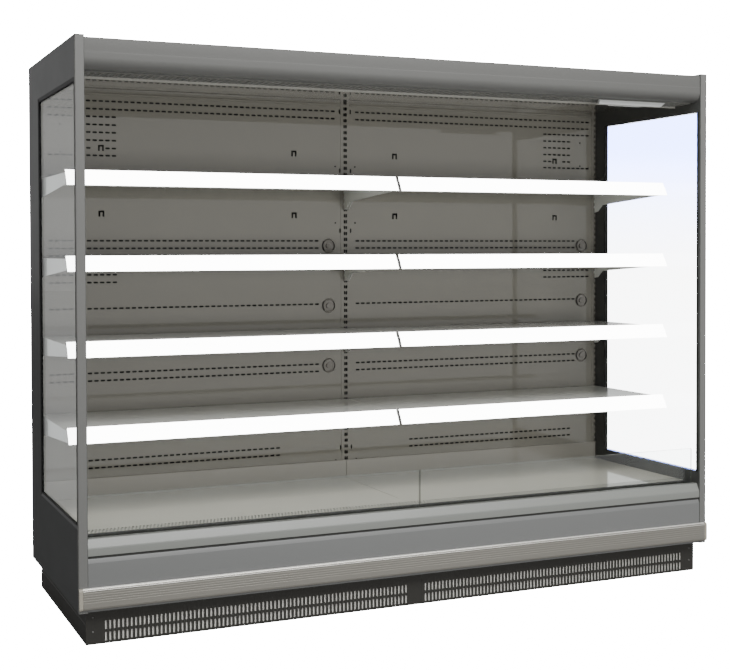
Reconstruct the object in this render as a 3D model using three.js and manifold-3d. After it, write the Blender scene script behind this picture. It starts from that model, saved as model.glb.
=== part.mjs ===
// Open multideck display fridge, two bays wide, self-contained.
// Millimetres, +Z up, the shopper stands at -Y, the origin is on the floor under the middle.
import * as THREE from 'three';
import { mergeGeometries, mergeVertices } from 'three/addons/utils/BufferGeometryUtils.js';
import Module from 'manifold-3d';

const wasm = await Module();
wasm.setup();

// ---------------------------------------------------------------- driving sizes
const gap = 0.3;                  // air left between two pieces that touch
const sheet = 2;                  // folded sheet steel

const bayPitch = 1250;            // one shelf bay, upright to upright
const endWallThick = 32;
const endWallDepth = 906;         // end wall with its front post
const bumperDepth = 10;           // bumper stands this far in front of the posts
const height = 2041;              // top of the end walls and posts
const plinthHeight = 122;         // floor to the underside of the end walls
const plinthGap = 3;              // floor to the underside of the plinth plates
const plinthSideInset = 31;
const plinthFrontInset = 40;
const plinthRearInset = 11;

const postDepth = 12;
const postChamfer = 2;
const windowBottom = 412;
const windowHeader = 151;          // end wall above its window
const windowRearMargin = 228;     // rear edge of the window to the back of the fridge
const endGlassThick = 26;         // insulated double glazing
const endGlassRecess = 5;         // outer face of the glass, behind the face of the end wall
const endGlassChamfer = 1;

const backWallThick = 45;
const rearDuctDepth = 96;         // cold air rises between back wall and rear panels
const roofThick = 39;
const roofTopDrop = 9.3;          // end walls stand this far above the roof panel
const roofFrontSetback = 50;      // roof panel starts behind the canopy's face
const ceilingDrop = 89.5;         // top of the end walls to the underside of the ceiling panel
const ceilingFront = 168;         // ceiling's front edge, behind the front of the posts
const ceilingHem = 12;            // fold back along the foot of that edge
const ceilingLip = 34.5;          // height of the folded front edge of the ceiling
const outletHeight = 20;
const outletRise = 8;             // the outlet's underside over the foot of the ceiling's front edge

const canopyTopDrop = 7;
const canopyHeight = 115;
const canopyRoll = 38;            // radius of the rolled lower edge
const canopyReturn = 24;          // flat under the roll
const canopyTopFlange = 90;
const canopySeamDrop = 49;        // shallow joggle across the face
const canopyJoggle = 1;
const canopyJoggleRun = 2;
const canopySetback = 3;          // face stands back from the posts

const tubFloorBottom = 190;
const tubFloorThick = 30;
const tubFrontThick = 40;
const tubFrontSetback = 13;

const deckHeight = 365;           // top of the deck trays
const deckUpstand = 73;
const deckUpstandGap = 3;
const deckFrontEdge = 236;        // front edge of the trays, behind the front of the posts
const deckFold = 20;
const deckHem = 6;                // fold along the top of the upstand
const deckSideGap = 1;            // tray to the middle of the fridge and to the end wall's inner face

const noseTop = 375;
const noseCrest = 18;             // lip crest, behind the front of the posts
const noseCrestWidth = 22;
const noseSlopeDrop = 41;
const noseBottom = 307;
const noseSheet = 3;
const noseLip = 12;               // fold behind the crest
const noseRound = 3;
const frontPanelBevelDepth = 5;
const frontPanelRise = 2;         // the panel's lower fold lies this far above the plinth's top
const frontPanelTop = 301;
const frontPanelBevel = 14;
const frontFaceSetback = 2;
const frontPanelReturn = 10;

const bumperTop = 206;
const bumperBottom = 131;
const bumperCapWidth = 13;
const bumperRibs = 5;
const bumperRibDepth = 1.2;
const bumperRibPitch = 8.25;
const bumperFirstRib = 14;        // under the bumper's top

const channelWidth = 62;          // clear width of the trough that the glass stands in
const channelDepth = 16;
const channelWall = 2;
const channelSetback = 44;        // front of the trough, behind the front of the posts
const riserThick = 6;
const riserInset = 3;             // glass to the trough's front wall
const riserTop = 505;
const riserEndGap = 3;

const uprightWidth = 42;
const uprightWeb = 3;
const uprightFlange = 26;
const uprightProud = 1.5;         // web stands this far in front of the rear panels
const slotPitch = 25;
const slotHeight = 15;
const slotWidth = 5;
const slotOffset = 4.5;           // bracket and slot to the bay's edge
const slotTopMargin = 62;         // uprights are plain above the highest slot
const lowestSlot = 448;

const shelfTiers = 4;
const shelfSteps = 12;            // slots from one shelf to the next
const topRailHeight = 1610;       // top edge of the highest price rail
const shelfReach = 516;           // rear panel to the top edge of the price rail
const shelfDrop = 10;             // shelf surface under the top edge of its rail
const shelfRearGap = 12;
const shelfRearFold = 22;
const shelfFrontFold = 38;
const shelfEndGap = 1.5;
const railHeight = 58;
const railLean = 31;              // the rail's foot stands this far in front of its top
const railThick = 3;
const railLedge = 14;
const railLedgeStep = 2;
const railFoot = 4;               // lip at the rail's foot
const railFootHeight = 2;
const railEndGap = 2.5;
const bracketThick = 3;
const armRearDrop = 77;           // lower edge of the arm under the rail's top, at the rear
const armFrontDrop = 50;
const gussetLength = 106;
const gussetTip = 30;
const gussetDrop = 109;
const gussetShoulder = 40;        // flat part of the gusset's lower edge
const gussetStep = 3;             // fall of that flat part
const tabHeight = 12;
const tabLength = 7;
const tabChamfer = 3;
const hookClearance = 0.5;        // back of the web to the hook
const hookEntry = 2;              // widening at the tip of the hook
const tabDrop = 37;               // middle of the top tab under the rail's top edge
const tabCount = 3;
const hookReach = 7;              // how far the top hook hangs down behind the web
const webGap = 0.8;               // bracket to the face of the upright
const bracketRelief = 6;          // rear edge over the top tab, set forward so that the shelf can tilt

const rearPanelBottom = 440;
const keyholeInner = 223;         // n-shaped cut-outs, from the middle of the fridge
const keyholeOuter = 1033;
const keyholeHeights = [1729, 1473];
const keyholeWidth = 18;
const keyholeHeight = 19;
const keyholeSlit = 3;
const plugFromBayEnd = 70;        // round plugs, from the bay's right edge
const plugHeights = [1352, 1101, 849];
const plugRadius = 27;
const plugRim = 6;
const plugProud = 1.5;

const grillePitch = 14.75;
const grilleSlotWidth = 7;
const grilleSlotHeight = 29;
const grilleLowerRow = 12;
const grilleUpperRow = 51;
const grilleEndMargin = 61;
const grilleMidMarginLeft = 55;
const grilleMidMarginRight = 12.5;
const kickReturn = 14;
const kickReturnEndGap = 16;      // the fold stops short of the side plates
const plinthBeadHeight = 72;
const plinthBeadDepth = 1.5;
const plinthBeadSlope = 4;

const frameBottom = 30;
const frameChannelWidth = 40;
const frameWeb = 3;
const frameRail = 40;
const footDisc = 19;
const footDiscEdge = 5;
const footNeck = 4;
const footNut = 10.8;
const footNutHeight = 9;
const footStud = 6;
const footThread = 16;            // stud inside the frame
const footInset = 60;
const footHoleGap = 0.5;

const lampLength = 318;
const lampHeight = 17;
const lampDepth = 12;
const lampFromEnd = 126;
const lampRibs = 3;
const lampRibShare = 0.7;         // the rest of each rib's height is groove
const lampGrooveDepth = 1;

const coilLength = 2060;
const coilDepth = 210;
const coilFins = 18;
const finThick = 3;
const coilFinReach = 30;
const coilSetback = 120;          // coil to the back wall
const fanPlateFold = 20;
const evapFanRadius = 62;
const condFanRadius = 64;
const fanTipGap = 3;
const fanBlades = 5;
const fanHubRadius = 22;
const fanHubLength = 26;
const fanBladeThick = 2.2;
const fanBladeRoot = 4;           // blade inside the hub
const fanBladeDepth = 33.8;
const fanPitchAngle = 32;
const fanPlateSetback = 300;      // evaporator fan plate, behind the front of the posts
const motorRadius = 20;
const motorLength = 34;
const motorArm = 6;
const motorArmPast = 3;           // the arms reach this far past the opening
const motorArmAngles = [90, 210, 330];

const condenserWidth = 460;
const condenserHeight = 142;
const condenserDepth = 52;
const condenserX = 330;
const condenserSetback = 62;
const condenserFins = 14;
const shroudDepth = 34;
const shroudWall = 6;
const condenserFinReach = 10;
const compressorRadius = 62;
const compressorLength = 270;
const compressorX = 830;
const compressorY = 60;
const compressorFootHeight = 12;
const compressorDome = 34;
const saddleEdge = 6;
const saddleWidth = 20;
const saddleNarrow = 0.7;         // top of a saddle foot, as a share of the radius
const saddleHeight = 37;

// ---------------------------------------------------------------- worked-out places
const width = 2 * bayPitch + 2 * endWallThick;
const innerHalf = bayPitch;                                   // inner face of an end wall
const front = -(endWallDepth + bumperDepth) / 2 + bumperDepth; // front face of the posts
const rear = front + endWallDepth;
const linerY = rear - backWallThick - rearDuctDepth;          // face of the rear panels
const uprightY = linerY - uprightProud;
const windowFront = front + postDepth;
const windowRear = rear - windowRearMargin;
const windowTop = height - windowHeader;
const ceilingHeight = height - ceilingDrop;
const outletBottom = ceilingHeight - ceilingLip + outletRise;
const roofTop = height - roofTopDrop;
const roofBottom = roofTop - roofThick;
const slotCount = Math.floor((roofBottom - slotTopMargin - lowestSlot) / slotPitch) + 1;
const tubFloorTop = tubFloorBottom + tubFloorThick;
const tubFront = front + tubFrontSetback;
const kickY = front + plinthFrontInset;
const plinthHalf = width / 2 - plinthSideInset;
const plinthTop = plinthHeight - gap;
const channelFront = front + channelSetback;
const tubFrontTop = deckHeight - channelDepth - channelWall - gap;  // the trough rests on the tub
const bodyEnd = innerHalf - gap;                              // end of what spans the walls

// ---------------------------------------------------------------- colours
const paint = (color, roughness = 0.5, metalness = 0) =>
  new THREE.MeshStandardMaterial({ color, roughness, metalness });
const greyPaint = paint(0x848481, 0.45, 0.1);
const charcoal = paint(0x3c3c3a, 0.5, 0.1);
const liner = paint(0x8d8a82, 0.35, 0.1);
const deckPaint = paint(0xb9b4a5, 0.3, 0.1);
const shelfWhite = paint(0xdcdcd8, 0.4);
const railWhite = paint(0xf6f6f2, 0.35);
const foamSkin = paint(0xc9cac8, 0.5, 0.2);
const galvanised = paint(0xa9adb0, 0.4, 0.8);
const bumperMetal = paint(0xa9a392, 0.35, 0.7);
const bumperPlastic = paint(0x8a867b, 0.5);
const plinthBlack = paint(0x2d2c29, 0.6);
const clearGlass = paint(0xe8eef8, 0.05);
const aluminium = paint(0xb8bcc0, 0.35, 0.9);
const blackMetal = paint(0x1c1c1d, 0.45, 0.4);
const blackPlastic = paint(0x222222, 0.6);
const lampLens = paint(0xd9dad6, 0.3);

// ---------------------------------------------------------------- making solids
const part = new THREE.Group();

// A closed geometry as a solid that can be joined and cut.
function solid(geometry) {
  const bare = geometry.clone();
  bare.deleteAttribute('normal');
  bare.deleteAttribute('uv');
  const welded = mergeVertices(bare, 1e-4);
  return new wasm.Manifold(new wasm.Mesh({
    numProp: 3,
    vertProperties: Float32Array.from(welded.attributes.position.array),
    triVerts: Uint32Array.from(welded.index.array),
  }));
}

// A solid back as a geometry.
function geometryOf(body) {
  const mesh = body.getMesh();
  const geometry = new THREE.BufferGeometry();
  geometry.setAttribute('position', new THREE.BufferAttribute(mesh.vertProperties, 3));
  geometry.setIndex(new THREE.BufferAttribute(mesh.triVerts, 1));
  geometry.computeVertexNormals();
  return geometry;
}

const join = (...bodies) => bodies.reduce((a, b) => a.add(b));
const cut = (body, ...tools) => tools.reduce((a, b) => a.subtract(b), body);

function box(x0, x1, y0, y1, z0, z1) {
  const geometry = new THREE.BoxGeometry(x1 - x0, y1 - y0, z1 - z0);
  return geometry.translate((x0 + x1) / 2, (y0 + y1) / 2, (z0 + z1) / 2);
}
const boxSolid = (...corners) => solid(box(...corners));

// Outlines drawn in one plane and pushed along the third axis.
function extrude(points, depth) {
  const shape = new THREE.Shape(points.map(([u, v]) => new THREE.Vector2(u, v)));
  return new THREE.ExtrudeGeometry(shape, { depth, bevelEnabled: false });
}
const basis = (u, v, w) => new THREE.Matrix4().makeBasis(u, v, w);
const X = new THREE.Vector3(1, 0, 0);
const Y = new THREE.Vector3(0, 1, 0);
const Z = new THREE.Vector3(0, 0, 1);

// (y, z) outline along X
const alongX = (points, x0, x1) =>
  extrude(points, x1 - x0).applyMatrix4(basis(Y, Z, X)).translate(x0, 0, 0);
// (x, z) outline along Y
const alongY = (points, y0, y1) =>
  extrude(points, y1 - y0).applyMatrix4(basis(X, Z, Y.clone().negate())).translate(0, y1, 0);
// (x, y) outline along Z
const alongZ = (points, z0, z1) => extrude(points, z1 - z0).translate(0, 0, z0);

// A plate with outlines cut through it; the cutters run out past both of its faces.
const past = 1;
const pierce = (push, outline, a, b, holes) =>
  cut(solid(push(outline, a, b)), solid(mergeGeometries(holes.map((hole) => push(hole, a - past, b + past)))));

const rectangle = (u0, u1, v0, v1) => [[u0, v0], [u1, v0], [u1, v1], [u0, v1]];

// Points on an arc from angle a to angle b, in degrees.
function arc(cu, cv, radius, a, b, steps) {
  const points = [];
  for (let i = 0; i <= steps; i += 1) {
    const angle = THREE.MathUtils.degToRad(a + (b - a) * i / steps);
    points.push([cu + radius * Math.cos(angle), cv + radius * Math.sin(angle)]);
  }
  return points;
}

// A folded sheet: the line of one face, given its thickness on the left of its direction.
function folded(line, thick) {
  const other = line.map((point, i) => {
    const sides = [];
    if (i > 0) sides.push([line[i - 1], point]);
    if (i < line.length - 1) sides.push([point, line[i + 1]]);
    const normals = sides.map(([a, b]) => {
      const length = Math.hypot(b[0] - a[0], b[1] - a[1]);
      return [-(b[1] - a[1]) / length, (b[0] - a[0]) / length];
    });
    const first = normals[0];
    const last = normals[normals.length - 1];
    const mitre = thick / (1 + first[0] * last[0] + first[1] * last[1]);
    return [point[0] + (first[0] + last[0]) * mitre, point[1] + (first[1] + last[1]) * mitre];
  });
  return [...line, ...other.reverse()];
}

function place(name, geometry, material) {
  const mesh = new THREE.Mesh(geometry, material.clone());
  mesh.name = name;
  part.add(mesh);
}
const placeSolid = (name, body, material) => place(name, geometryOf(body), material);

const sides = [['left', -1], ['right', 1]];
const mirrorSpan = (side, near, far) => (side < 0 ? [-far, -near] : [near, far]);

// ---------------------------------------------------------------- end walls
function endWall(side) {
  // C-shaped panel: rear pillar, header and sill round the window, closed by the post in front
  const outline = [
    [windowFront + gap, plinthHeight], [rear, plinthHeight], [rear, height], [windowFront + gap, height],
    [windowFront + gap, windowTop], [windowRear, windowTop],
    [windowRear, windowBottom], [windowFront + gap, windowBottom],
  ];
  return alongX(outline, ...mirrorSpan(side, innerHalf, innerHalf + endWallThick));
}

function post(side) {
  const [x0, x1] = mirrorSpan(side, innerHalf, innerHalf + endWallThick);
  const outline = [
    [x0, windowFront], [x0, front + postChamfer], [x0 + postChamfer, front],
    [x1 - postChamfer, front], [x1, front + postChamfer], [x1, windowFront],
  ];
  return alongZ(outline, plinthHeight, height);
}

function endGlass(side) {
  // glazing unit with its edges ground back, set a little behind the outer face of the wall
  const outer = innerHalf + endWallThick - endGlassRecess;
  const y0 = windowFront + gap;
  const y1 = windowRear - gap;
  const [x0, x1] = mirrorSpan(side, outer - endGlassThick, outer);
  const outline = [
    [x0, y0 + endGlassChamfer], [x0 + endGlassChamfer, y0], [x1 - endGlassChamfer, y0], [x1, y0 + endGlassChamfer],
    [x1, y1 - endGlassChamfer], [x1 - endGlassChamfer, y1], [x0 + endGlassChamfer, y1], [x0, y1 - endGlassChamfer],
  ];
  return alongZ(outline, windowBottom + gap, windowTop - gap);
}

for (const [name, side] of sides) {
  place(`end_wall_${name}`, endWall(side), charcoal);
  place(`front_post_${name}`, post(side), greyPaint);
  place(`end_glass_${name}`, endGlass(side), clearGlass);
}

// ---------------------------------------------------------------- insulated body
function tub() {
  const backY = rear - backWallThick - gap;
  const outline = [
    [tubFront, tubFloorBottom], [backY, tubFloorBottom], [backY, tubFloorTop],
    [tubFront + tubFrontThick + tubFloorThick, tubFloorTop],
    [tubFront + tubFrontThick, tubFloorTop + tubFloorThick / 2],
    [tubFront + tubFrontThick, tubFrontTop], [tubFront + tubFrontThick / 2, tubFrontTop],
    [tubFront, noseBottom + 2 * noseSheet],
  ];
  return alongX(outline, -bodyEnd, bodyEnd);
}
place('tub', tub(), foamSkin);
place('back_wall', box(-bodyEnd, bodyEnd, rear - backWallThick, rear, plinthHeight, roofTop), foamSkin);
const roofFront = front + roofFrontSetback;
place('roof_panel', box(-bodyEnd, bodyEnd, roofFront, rear - backWallThick - gap, roofBottom, roofTop), foamSkin);

// ---------------------------------------------------------------- canopy, air outlet, ceiling
const canopyTop = height - canopyTopDrop;
const canopyFace = front + canopySetback;
const canopyBottom = canopyTop - canopyHeight;

function canopy() {
  const rollY = canopyFace + canopyRoll;
  const rollZ = canopyBottom + canopyRoll;
  const seam = canopyTop - canopySeamDrop;
  const line = [
    [roofFront + canopyTopFlange, canopyTop],
    [canopyFace + canopyJoggle, canopyTop],
    [canopyFace + canopyJoggle, seam + canopyJoggleRun],
    [canopyFace, seam],
    ...arc(rollY, rollZ, canopyRoll, 180, 270, 7),
    [rollY + canopyReturn, canopyBottom],
    [rollY + canopyReturn, outletBottom + outletHeight],
  ];
  return alongX(folded(line, sheet), -bodyEnd, bodyEnd);
}
place('canopy', canopy(), greyPaint);

const outletFront = canopyFace + canopyRoll + canopyReturn + gap;
const ceilingEdge = front + ceilingFront;

function airOutlet() {
  // long vanes straighten the air curtain, tied by cross ribs
  const y0 = outletFront;
  const y1 = ceilingEdge - gap;
  const vanes = 3;
  const lane = (y1 - y0) / vanes;
  const rib = 2;
  const span = bayPitch / 2;
  const holes = [];
  for (let x = -innerHalf; x < innerHalf; x += span) {
    for (let k = 0; k < vanes; k += 1) {
      const u0 = Math.max(x + rib, -bodyEnd + rib);
      const u1 = Math.min(x + span - rib, bodyEnd - rib);
      holes.push(rectangle(u0, u1, y0 + k * lane + rib, y0 + (k + 1) * lane - rib));
    }
  }
  return pierce(alongZ, rectangle(-bodyEnd, bodyEnd, y0, y1), outletBottom, outletBottom + outletHeight, holes);
}
placeSolid('air_outlet', airOutlet(), blackPlastic);

function ceiling() {
  const line = [
    [uprightY - gap, ceilingHeight + sheet],
    [ceilingEdge, ceilingHeight + sheet],
    [ceilingEdge, ceilingHeight - ceilingLip],
    [ceilingEdge + ceilingHem, ceilingHeight - ceilingLip],
  ];
  return alongX(folded(line, sheet), -bodyEnd, bodyEnd);
}
place('ceiling_panel', ceiling(), liner);

function lamp() {
  // ribbed lens under the front edge of the air outlet, against the canopy's flange
  const x1 = innerHalf - lampFromEnd;
  const lensFace = outletFront;
  const back = lensFace + lampDepth;
  const z1 = outletBottom - gap;
  const step = lampHeight / lampRibs;
  const line = [[back, z1], [lensFace, z1]];
  for (let k = 0; k < lampRibs; k += 1) {
    const ribEnd = z1 - (k + lampRibShare) * step;
    const next = z1 - (k + 1) * step;
    line.push([lensFace, ribEnd], [lensFace + lampGrooveDepth, (ribEnd + next) / 2], [lensFace, next]);
  }
  line.push([back, z1 - lampHeight]);
  return alongX(line, x1 - lampLength, x1);
}
place('light_bar', lamp(), lampLens);

// ---------------------------------------------------------------- uprights and rear panels
const slotColumn = (x) => {
  const column = [];
  for (let i = 0; i < slotCount; i += 1) {
    const z = lowestSlot + i * slotPitch;
    column.push(rectangle(x - slotWidth / 2, x + slotWidth / 2, z - slotHeight / 2, z + slotHeight / 2));
  }
  return column;
};

// Slotted web between x0 and x1, one column of slots for each bay beside it, and its flanges.
function upright(x0, x1, columns, flanges) {
  const z0 = tubFloorTop + gap;
  const z1 = roofBottom - gap;
  const web = pierce(alongY, rectangle(x0, x1, z0, z1), uprightY, uprightY + uprightWeb,
    columns.flatMap(slotColumn));
  const legs = flanges.map(([a, b]) => boxSolid(a, b, uprightY + uprightWeb / 2, uprightY + uprightFlange, z0, z1));
  return join(web, ...legs);
}

const halfUpright = uprightWidth / 2;
const endUprightInner = innerHalf - halfUpright;
placeSolid('upright_left', upright(
  -bodyEnd, -endUprightInner, [-innerHalf + slotOffset],
  [[-endUprightInner - uprightWeb, -endUprightInner]]), liner);
placeSolid('upright_centre', upright(
  -halfUpright, halfUpright, [-slotOffset, slotOffset],
  [[-halfUpright, -halfUpright + uprightWeb], [halfUpright - uprightWeb, halfUpright]]), liner);
placeSolid('upright_right', upright(
  endUprightInner, bodyEnd, [innerHalf - slotOffset],
  [[endUprightInner, endUprightInner + uprightWeb]]), liner);

// n-shaped slit that frees a tongue of the sheet
function keyhole(x, z) {
  const half = keyholeWidth / 2;
  const s = keyholeSlit;
  return [
    [x - half, z - keyholeHeight / 2], [x - half + s, z - keyholeHeight / 2],
    [x - half + s, z + keyholeHeight / 2 - s], [x + half - s, z + keyholeHeight / 2 - s],
    [x + half - s, z - keyholeHeight / 2], [x + half, z - keyholeHeight / 2],
    [x + half, z + keyholeHeight / 2], [x - half, z + keyholeHeight / 2],
  ];
}

// Round knock-out plug: a raised ring round a flat middle.
function plug(x, z) {
  const profile = [
    [0, -sheet / 2], [plugRadius, -sheet / 2], [plugRadius - plugRim / 2, plugProud],
    [plugRadius - plugRim, plugProud / 4], [0, plugProud / 4],
  ].map(([r, h]) => new THREE.Vector2(r, h));
  const ring = new THREE.LatheGeometry(profile, 14);
  return solid(ring.rotateX(Math.PI).translate(x, linerY, z));
}

function rearPanel(side) {
  const [x0, x1] = mirrorSpan(side, halfUpright + gap, endUprightInner - gap);
  const keyholes = [keyholeInner, keyholeOuter]
    .flatMap((x) => keyholeHeights.map((z) => keyhole(side * x, z)));
  const top = ceilingHeight;
  const skin = pierce(alongY, rectangle(x0, x1, rearPanelBottom, top), linerY, linerY + sheet, keyholes);
  const bayRight = side < 0 ? 0 : innerHalf;
  const plugs = plugHeights.map((z) => plug(bayRight - plugFromBayEnd, z));
  const fold = boxSolid(x0, x1, linerY + sheet / 2, linerY + shelfRearFold, rearPanelBottom, rearPanelBottom + sheet);
  return join(skin, fold, ...plugs);
}
for (const [name, side] of sides) placeSolid(`rear_panel_${name}`, rearPanel(side), liner);

// ---------------------------------------------------------------- shelves
// Local frame of a shelf: y as in the fridge, heights measured from the rail's top edge.
const railTopY = linerY - shelfReach;
const leanAt = (drop) => -railLean * drop / railHeight;

function shelfSkin(x0, x1, top) {
  const rearY = linerY - shelfRearGap;
  const frontY = railTopY + railThick + gap;
  const z = top - shelfDrop;
  const line = [
    [rearY, z - shelfRearFold],
    [rearY, z],
    [frontY + leanAt(shelfDrop), z],
    [frontY + leanAt(shelfDrop + shelfFrontFold), z - shelfFrontFold],
  ];
  return solid(alongX(folded(line, sheet), x0, x1));
}

function bracket(x, top) {
  const z = (drop) => top - drop;
  const faceY = uprightY - webGap;
  const backY = uprightY + uprightWeb;
  const frontY = railTopY + railThick + gap + sheet / 2;
  const shelfUnder = shelfDrop + sheet / 2;
  const half = tabHeight / 2;
  // the top tab sits on the slot's lower edge, so that it lies a little low in its slot
  const sink = slotHeight / 2 - half - gap;
  const tabs = [];
  for (let k = tabCount - 1; k > 0; k -= 1) {
    const mid = tabDrop + k * slotPitch;
    const tip = backY + tabLength - tabChamfer;
    tabs.push([faceY, z(mid + half)], [tip, z(mid + half)], [tip, z(mid - half)], [faceY, z(mid - half)]);
  }
  const mid = tabDrop + sink;
  const inside = backY + hookClearance;
  tabs.push([faceY, z(mid + half)], [inside, z(mid + half)], [inside + hookEntry, z(mid + half + hookReach)],
    [backY + tabLength, z(mid + half + hookReach)], [backY + tabLength, z(mid - half + tabChamfer)],
    [backY + tabLength - tabChamfer, z(mid - half)], [faceY, z(mid - half)]);
  const outline = [
    [frontY + leanAt(shelfUnder), z(shelfUnder)],
    [frontY + leanAt(armFrontDrop), z(armFrontDrop)],
    [linerY - gussetLength, z(armRearDrop)],
    [linerY - gussetLength + gussetShoulder, z(armRearDrop + gussetStep)],
    [linerY - gussetTip, z(gussetDrop)],
    [faceY, z(gussetDrop + gussetStep)],
    ...tabs,
    [faceY - bracketRelief, z(mid - half)],
    [faceY - bracketRelief, z(shelfUnder)],
  ];
  return solid(alongX(outline, x - bracketThick / 2, x + bracketThick / 2));
}

function priceRail(x0, x1, top) {
  // leaning label strip with a ledge near its top and a small lip at its foot
  const at = (drop, out = 0) => [railTopY + leanAt(drop) - out, top - drop];
  const outline = [
    at(0), at(0, -railThick), at(railHeight - railThick, -railThick),
    at(railHeight, -railThick - railFoot), at(railHeight + railFootHeight, -railThick - railFoot),
    at(railHeight + railFootHeight / 2, railLedgeStep / 2), at(railHeight - railThick, railLedgeStep),
    at(railLedge + railLedgeStep / 2, railLedgeStep), at(railLedge, 0),
  ];
  return alongX(outline, x0, x1);
}

const bays = [['left', -bayPitch, 0], ['right', 0, bayPitch]];
for (const [name, x0, x1] of bays) {
  for (let tier = 0; tier < shelfTiers; tier += 1) {
    const top = topRailHeight - tier * shelfSteps * slotPitch;
    const body = join(
      shelfSkin(x0 + shelfEndGap, x1 - shelfEndGap, top),
      bracket(x0 + slotOffset, top),
      bracket(x1 - slotOffset, top));
    placeSolid(`shelf_${name}_${tier + 1}`, body, shelfWhite);
    place(`price_rail_${name}_${tier + 1}`, priceRail(x0 + railEndGap, x1 - railEndGap, top), railWhite);
  }
}

// ---------------------------------------------------------------- deck, air intake, glass risers
const deckFront = front + deckFrontEdge;
const upstandY = uprightY - deckUpstandGap;

function deckTray(side) {
  const line = [
    [upstandY - deckHem, deckHeight + deckUpstand],
    [upstandY, deckHeight + deckUpstand],
    [upstandY, deckHeight],
    [deckFront, deckHeight],
    [deckFront, deckHeight - deckFold],
  ];
  return alongX(folded(line, sheet), ...mirrorSpan(side, deckSideGap, bodyEnd - deckSideGap));
}

const channelRear = channelFront + channelWidth + 2 * channelWall;
const intakeTop = deckHeight;

function airIntake() {
  // perforated sheet over the returning air, and the trough that the glass stands in, in front of it
  const rearY = deckFront - gap;
  const line = [
    [rearY, intakeTop - deckFold], [rearY, intakeTop], [channelRear - channelWall, intakeTop],
    [channelRear - channelWall, intakeTop - channelDepth], [channelFront + channelWall, intakeTop - channelDepth],
    [channelFront + channelWall, intakeTop],
  ];
  return alongX(folded(line, channelWall), -bodyEnd, bodyEnd);
}
place('air_intake', airIntake(), deckPaint);
for (const [name, side] of sides) {
  place(`deck_tray_${name}`, deckTray(side), deckPaint);
  const y0 = channelFront + channelWall + riserInset;
  const x = mirrorSpan(side, riserEndGap / 2, bodyEnd - riserEndGap);
  place(`glass_riser_${name}`, box(...x, y0, y0 + riserThick, intakeTop - channelDepth + gap, riserTop),
    clearGlass);
}

// ---------------------------------------------------------------- front
const faceY = front + frontFaceSetback;

function nose() {
  const crestY = front + noseCrest;
  const shoulder = noseTop - noseSlopeDrop;
  const line = [
    [crestY + noseCrestWidth, noseTop - noseLip],
    [crestY + noseCrestWidth, noseTop],
    [crestY + noseRound, noseTop],
    [crestY, noseTop - noseRound],
    [faceY + noseRound / 3, shoulder],
    [faceY, shoulder - noseRound],
    [faceY, noseBottom],
    [tubFront - gap, noseBottom],
  ];
  return alongX(folded(line, noseSheet), -bodyEnd, bodyEnd);
}
place('front_nose', nose(), greyPaint);

function frontPanel() {
  const line = [
    [tubFront - gap, frontPanelTop],
    [faceY + frontPanelBevelDepth, frontPanelTop],
    [faceY, frontPanelTop - frontPanelBevel],
    [faceY, plinthHeight + frontPanelRise],
    [faceY + frontPanelReturn, plinthHeight + frontPanelRise],
  ];
  return alongX(folded(line, sheet), -bodyEnd, bodyEnd);
}
place('front_panel', frontPanel(), greyPaint);

function bumperOutline(ribCount) {
  // rounded bar with fine ribs along the upper part of its face
  const backY = front - gap;
  const ribFace = front - bumperDepth;
  const barFace = ribFace + bumperRibDepth;
  const r = bumperDepth - gap - bumperRibDepth;
  const ribs = [];
  for (let k = 0; k < ribCount; k += 1) {
    const z = bumperTop - bumperFirstRib - k * bumperRibPitch;
    ribs.push([ribFace, z], [ribFace, z - bumperRibPitch / 2],
      [barFace, z - bumperRibPitch / 2 - bumperRibDepth], [barFace, z - bumperRibPitch + bumperRibDepth]);
  }
  return [
    [backY, bumperTop],
    ...arc(barFace + r, bumperTop - r, r, 90, 180, 4),
    ...ribs,
    ...arc(barFace + r, bumperBottom + r, r, 180, 270, 4),
    [backY, bumperBottom],
  ];
}
const capInner = width / 2 - bumperCapWidth;
place('bumper_rail', alongX(bumperOutline(bumperRibs), -capInner + gap, capInner - gap), bumperMetal);
for (const [name, side] of sides) {
  place(`bumper_cap_${name}`, alongX(bumperOutline(0), ...mirrorSpan(side, capInner, width / 2)), bumperPlastic);
}

// ---------------------------------------------------------------- plinth
function grilleSlots(x0, x1) {
  const count = Math.floor((x1 - x0 - grilleSlotWidth) / grillePitch) + 1;
  const used = (count - 1) * grillePitch + grilleSlotWidth;
  const start = (x0 + x1 - used) / 2;
  const slots = [];
  for (const z of [grilleLowerRow, grilleUpperRow]) {
    for (let i = 0; i < count; i += 1) {
      const x = start + i * grillePitch;
      slots.push(rectangle(x, x + grilleSlotWidth, z, z + grilleSlotHeight));
    }
  }
  return slots;
}

function kickPlate(side) {
  const [x0, x1] = mirrorSpan(side, gap / 2, plinthHalf);
  const [s0, s1] = side < 0
    ? [-plinthHalf + grilleEndMargin, -grilleMidMarginLeft]
    : [grilleMidMarginRight, plinthHalf - grilleEndMargin];
  const face = pierce(alongY, rectangle(x0, x1, plinthGap, plinthTop), kickY, kickY + sheet, grilleSlots(s0, s1));
  const fold = boxSolid(x0 + kickReturnEndGap, x1 - kickReturnEndGap, kickY + sheet / 2, kickY + kickReturn,
    plinthTop - sheet, plinthTop);
  return join(face, fold);
}

function plinthSide(side) {
  // folded plate with a bead pressed along it
  const y0 = kickY + sheet + gap;
  const y1 = rear - plinthRearInset;
  const out = side * plinthHalf;
  const at = (depth, z) => [out - side * depth, z];
  const line = [
    at(0, plinthGap), at(0, plinthBeadHeight - plinthBeadSlope), at(plinthBeadDepth, plinthBeadHeight),
    at(plinthBeadDepth, plinthTop),
  ];
  const profile = folded(line, side * sheet);
  return alongY(profile, y0, y1);
}
for (const [name, side] of sides) {
  placeSolid(`kick_plate_${name}`, kickPlate(side), plinthBlack);
  place(`plinth_side_${name}`, plinthSide(side), plinthBlack);
}

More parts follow.
